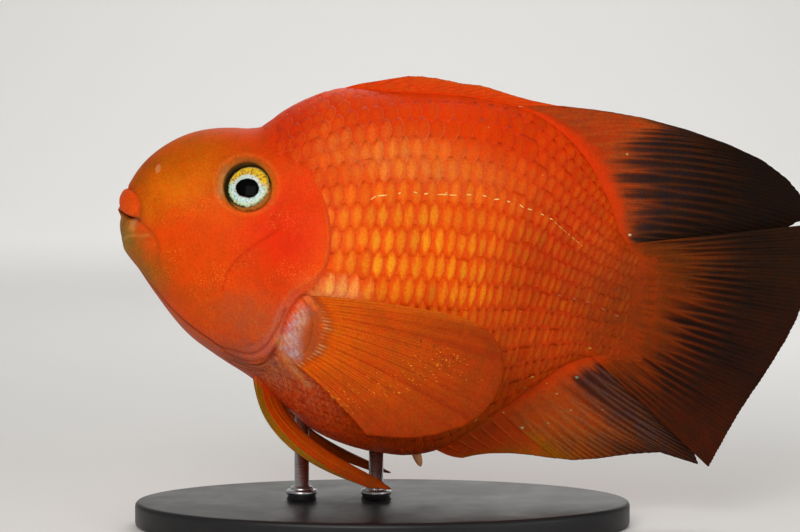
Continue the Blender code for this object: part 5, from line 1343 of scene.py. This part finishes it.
# The papilla behind the vent: a short blunt cone that points down and back
PAPILLA_PLACE, PAPILLA_LENGTH, PAPILLA_SUNK, PAPILLA_RADIUS, PAPILLA_TURN = 102.2, 4, 1.2, 1.4, math.radians(150)
PAPILLA_RINGS, PAPILLA_SPOKES = 12, 24
along = np.linspace(-PAPILLA_SUNK, PAPILLA_LENGTH, PAPILLA_RINGS)[:, None]
spoke = np.linspace(0, 2 * math.pi, PAPILLA_SPOKES, endpoint=False)
wide = PAPILLA_RADIUS * np.sqrt(np.clip(1 - (along / PAPILLA_LENGTH).clip(0) ** 1.6, 0.02, 1))
cone = np.stack([wide * np.cos(spoke), wide * np.sin(spoke), along + 0 * spoke], axis=-1).reshape(-1, 3)
cone = np.concatenate([cone, [(0, 0, -PAPILLA_SUNK), (0, 0, PAPILLA_LENGTH)]])
cos, sin = math.cos(PAPILLA_TURN), math.sin(PAPILLA_TURN)
cone = cone @ ((cos, 0, -sin), (0, 1, 0), (sin, 0, cos)) + (PAPILLA_PLACE, 0, float(belly(PAPILLA_PLACE)))
papilla = add_piece("papilla", in_place(cone), tube_faces(PAPILLA_RINGS, PAPILLA_SPOKES))
add_colours(papilla, "Markings", painted(((206, 140, 96), len(cone))))
papilla.data.materials.append(pigment)
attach(papilla, "root")

# The stand
# An oval base of satin black lacquered wood with two turned steel rods that hold the fish under its belly.


def turned(name, profile, middle, spokes, finish, node_name, slot):
    """A turned shape: (radius along x, radius along y, height) rows carried round the axis through the middle."""
    rows = np.array(profile)
    angle = np.linspace(0, 2 * math.pi, spokes, endpoint=False)
    around = np.stack([
        middle[0] + rows[:, :1] * np.cos(angle), middle[1] + rows[:, 1:2] * np.sin(angle), rows[:, 2:] + 0 * angle,
    ], axis=-1)
    ends = [(middle[0], middle[1], rows[k, 2]) for k in (0, -1)]
    piece = add_piece(name, np.concatenate([around.reshape(-1, 3), ends]), tube_faces(len(rows), spokes))
    piece.data.materials.append(finish)
    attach(piece, "root")
    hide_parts(node_name)


def rounded_edge(outer, height, radius, start, end, count):
    """(distance out, height) points of a quarter round between two angles."""
    angle = np.radians(np.linspace(start, end, count))
    return np.stack([outer - radius + radius * np.cos(angle), height + radius * np.sin(angle)], axis=-1)


# Satin black lacquer with a faint orange-peel surface
material, tree, place = new_material("black_lacquer", Base_Color=(0.010, 0.010, 0.011, 1.0), Specular_IOR_Level=0.35)
base_finish = finished(material, grain(tree, place, 450.0, 2.0), 0.06, 0.0003,
                       Roughness=graded(tree, grain(tree, place, 60.0, 6.0), 0.3, 0.7, 0.34, 0.46))
# Steel with fine turning marks across it
material, tree, place = new_material("turned_steel", Base_Color=(0.50, 0.51, 0.52, 1.0), Metallic=1.0)
marks = grain(tree, place, 1.0, 2.0, 0.5, stretch=(40.0, 40.0, 6000.0))
rod_finish = finished(material, marks, 0.10, 0.0001, Roughness=graded(tree, marks, 0.3, 0.7, 0.22, 0.36))

BASE_EDGE, BASE_SPOKES = 1.4, 160
ROD_RADIUS, ROD_COLLAR_RADIUS, ROD_SPOKES = 2.2, 4.8, 48
low, high = node_box("stand_base")
half_long, half_wide, _ = (high - low) / 2
inset = np.concatenate([
    [(-half_wide * 0.98, low[2])], rounded_edge(0, low[2] + BASE_EDGE, BASE_EDGE, -90, 0, 7),
    rounded_edge(0, high[2] - BASE_EDGE, BASE_EDGE, 0, 90, 7), [(-half_wide * 0.98, high[2])],
])
turned("oval_plinth", inset[:, [0, 0, 1]] + (half_long, half_wide, 0), (low + high) / 2, BASE_SPOKES, base_finish,
       "stand_base", "stand_base")
for word in ROD_PLACES:
    low, high = node_box(f"stand_rod_{word}")
    foot = low[2]
    profile = np.concatenate([
        [(ROD_COLLAR_RADIUS - 0.2, foot)], rounded_edge(ROD_COLLAR_RADIUS, foot + 2.2, 0.8, -80, 80, 9),
        rounded_edge(ROD_COLLAR_RADIUS - 1.2, foot + 3, 1, 0, 70, 5), [(ROD_RADIUS, foot + 4.2), (ROD_RADIUS, high[2])],
    ])
    turned(f"steel_rod_{word}", profile[:, [0, 0, 1]], (low + high) / 2, ROD_SPOKES, rod_finish, f"stand_rod_{word}",
           "stand_rod")

# The studio
# A pale seamless sweep of paper, four broad soft lamps and the camera where the photographer stood, in metres.

SWEEP_WIDTH, SWEEP_FRONT, SWEEP_BACK, SWEEP_CURVE, SWEEP_TOP = 9.0, -4.0, 2.3, 0.7, 3.2
# The paper lies flat on the floor, turns up through a quarter round and then stands upright
angle = np.linspace(0, math.pi / 2, 24)
bend = np.stack([SWEEP_BACK + SWEEP_CURVE * np.sin(angle), SWEEP_CURVE * (1 - np.cos(angle))], axis=-1)
profile = np.concatenate([[(SWEEP_FRONT, 0.0)], bend, [(SWEEP_BACK + SWEEP_CURVE, SWEEP_TOP)]])
paper = np.concatenate([np.insert(profile, 0, x, axis=1) for x in (-SWEEP_WIDTH / 2, SWEEP_WIDTH / 2)])
k = np.arange(len(profile) - 1)
sweep = add_piece("paper_sweep", 1000 * paper, [grid_quads(k, k + len(profile), 1)])
material, tree, place = new_material("pale_paper", Base_Color=(0.86, 0.85, 0.83, 1.0), Roughness=0.9,
                                     Specular_IOR_Level=0.1)
sweep.data.materials.append(finished(material, grain(tree, place, 900.0, 3.0), 0.05, 0.0003))


def add_lamp(name, size, power, place, target, colour=(1.0, 1.0, 1.0)):
    """A square soft lamp at a place, facing a target."""
    data = bpy.data.lights.new(name, "AREA")
    data.shape = "SQUARE"
    data.size = size
    data.energy = power
    data.color = colour
    lamp = bpy.data.objects.new(name, data)
    away = np.array(place, float) - np.array(target, float)
    lamp.rotation_euler = (math.atan2(math.hypot(away[0], away[1]), away[2]), 0, math.atan2(away[0], -away[1]))
    lamp.location = place
    bpy.context.scene.collection.objects.link(lamp)


add_lamp("key_lamp", 0.35, 2.2, (-0.16, -0.60, 0.36), (-0.01, 0, 0.08), (1.0, 0.98, 0.95))
add_lamp("fill_lamp", 0.6, 1.8, (0.80, -0.75, 0.30), (0.02, 0, 0.08))
add_lamp("back_lamp", 0.6, 1.6, (0.25, 0.70, 0.60), (0, 0, 0.08))
add_lamp("paper_lamp", 1.6, 30.0, (0.0, 2.0, 2.3), (0, 2.9, 0.4))

world = bpy.data.worlds.new("studio_air")
world.use_nodes = True
world.node_tree.nodes["Background"].inputs["Color"].default_value = (1.0, 0.99, 0.97, 1.0)
world.node_tree.nodes["Background"].inputs["Strength"].default_value = 0.30
bpy.context.scene.world = world
bpy.context.scene.view_settings.view_transform = "Standard"

CAMERA_DISTANCE = 0.650
CAMERA_DOWN = math.radians(3.0)
CAMERA_TARGET = (SNOUT_PLACE / 1000 + 0.0844, 0.0, 0.0786)

camera_data = bpy.data.cameras.new("camera")
camera_data.sensor_width = 36.0
camera_data.lens = 96.85
camera = bpy.data.objects.new("camera", camera_data)
camera.rotation_euler = (math.pi / 2 - CAMERA_DOWN, 0, 0)
way = np.array((0, -math.cos(CAMERA_DOWN), math.sin(CAMERA_DOWN)))
camera.location = np.array(CAMERA_TARGET) + CAMERA_DISTANCE * way
bpy.context.scene.collection.objects.link(camera)
bpy.context.scene.camera = camera
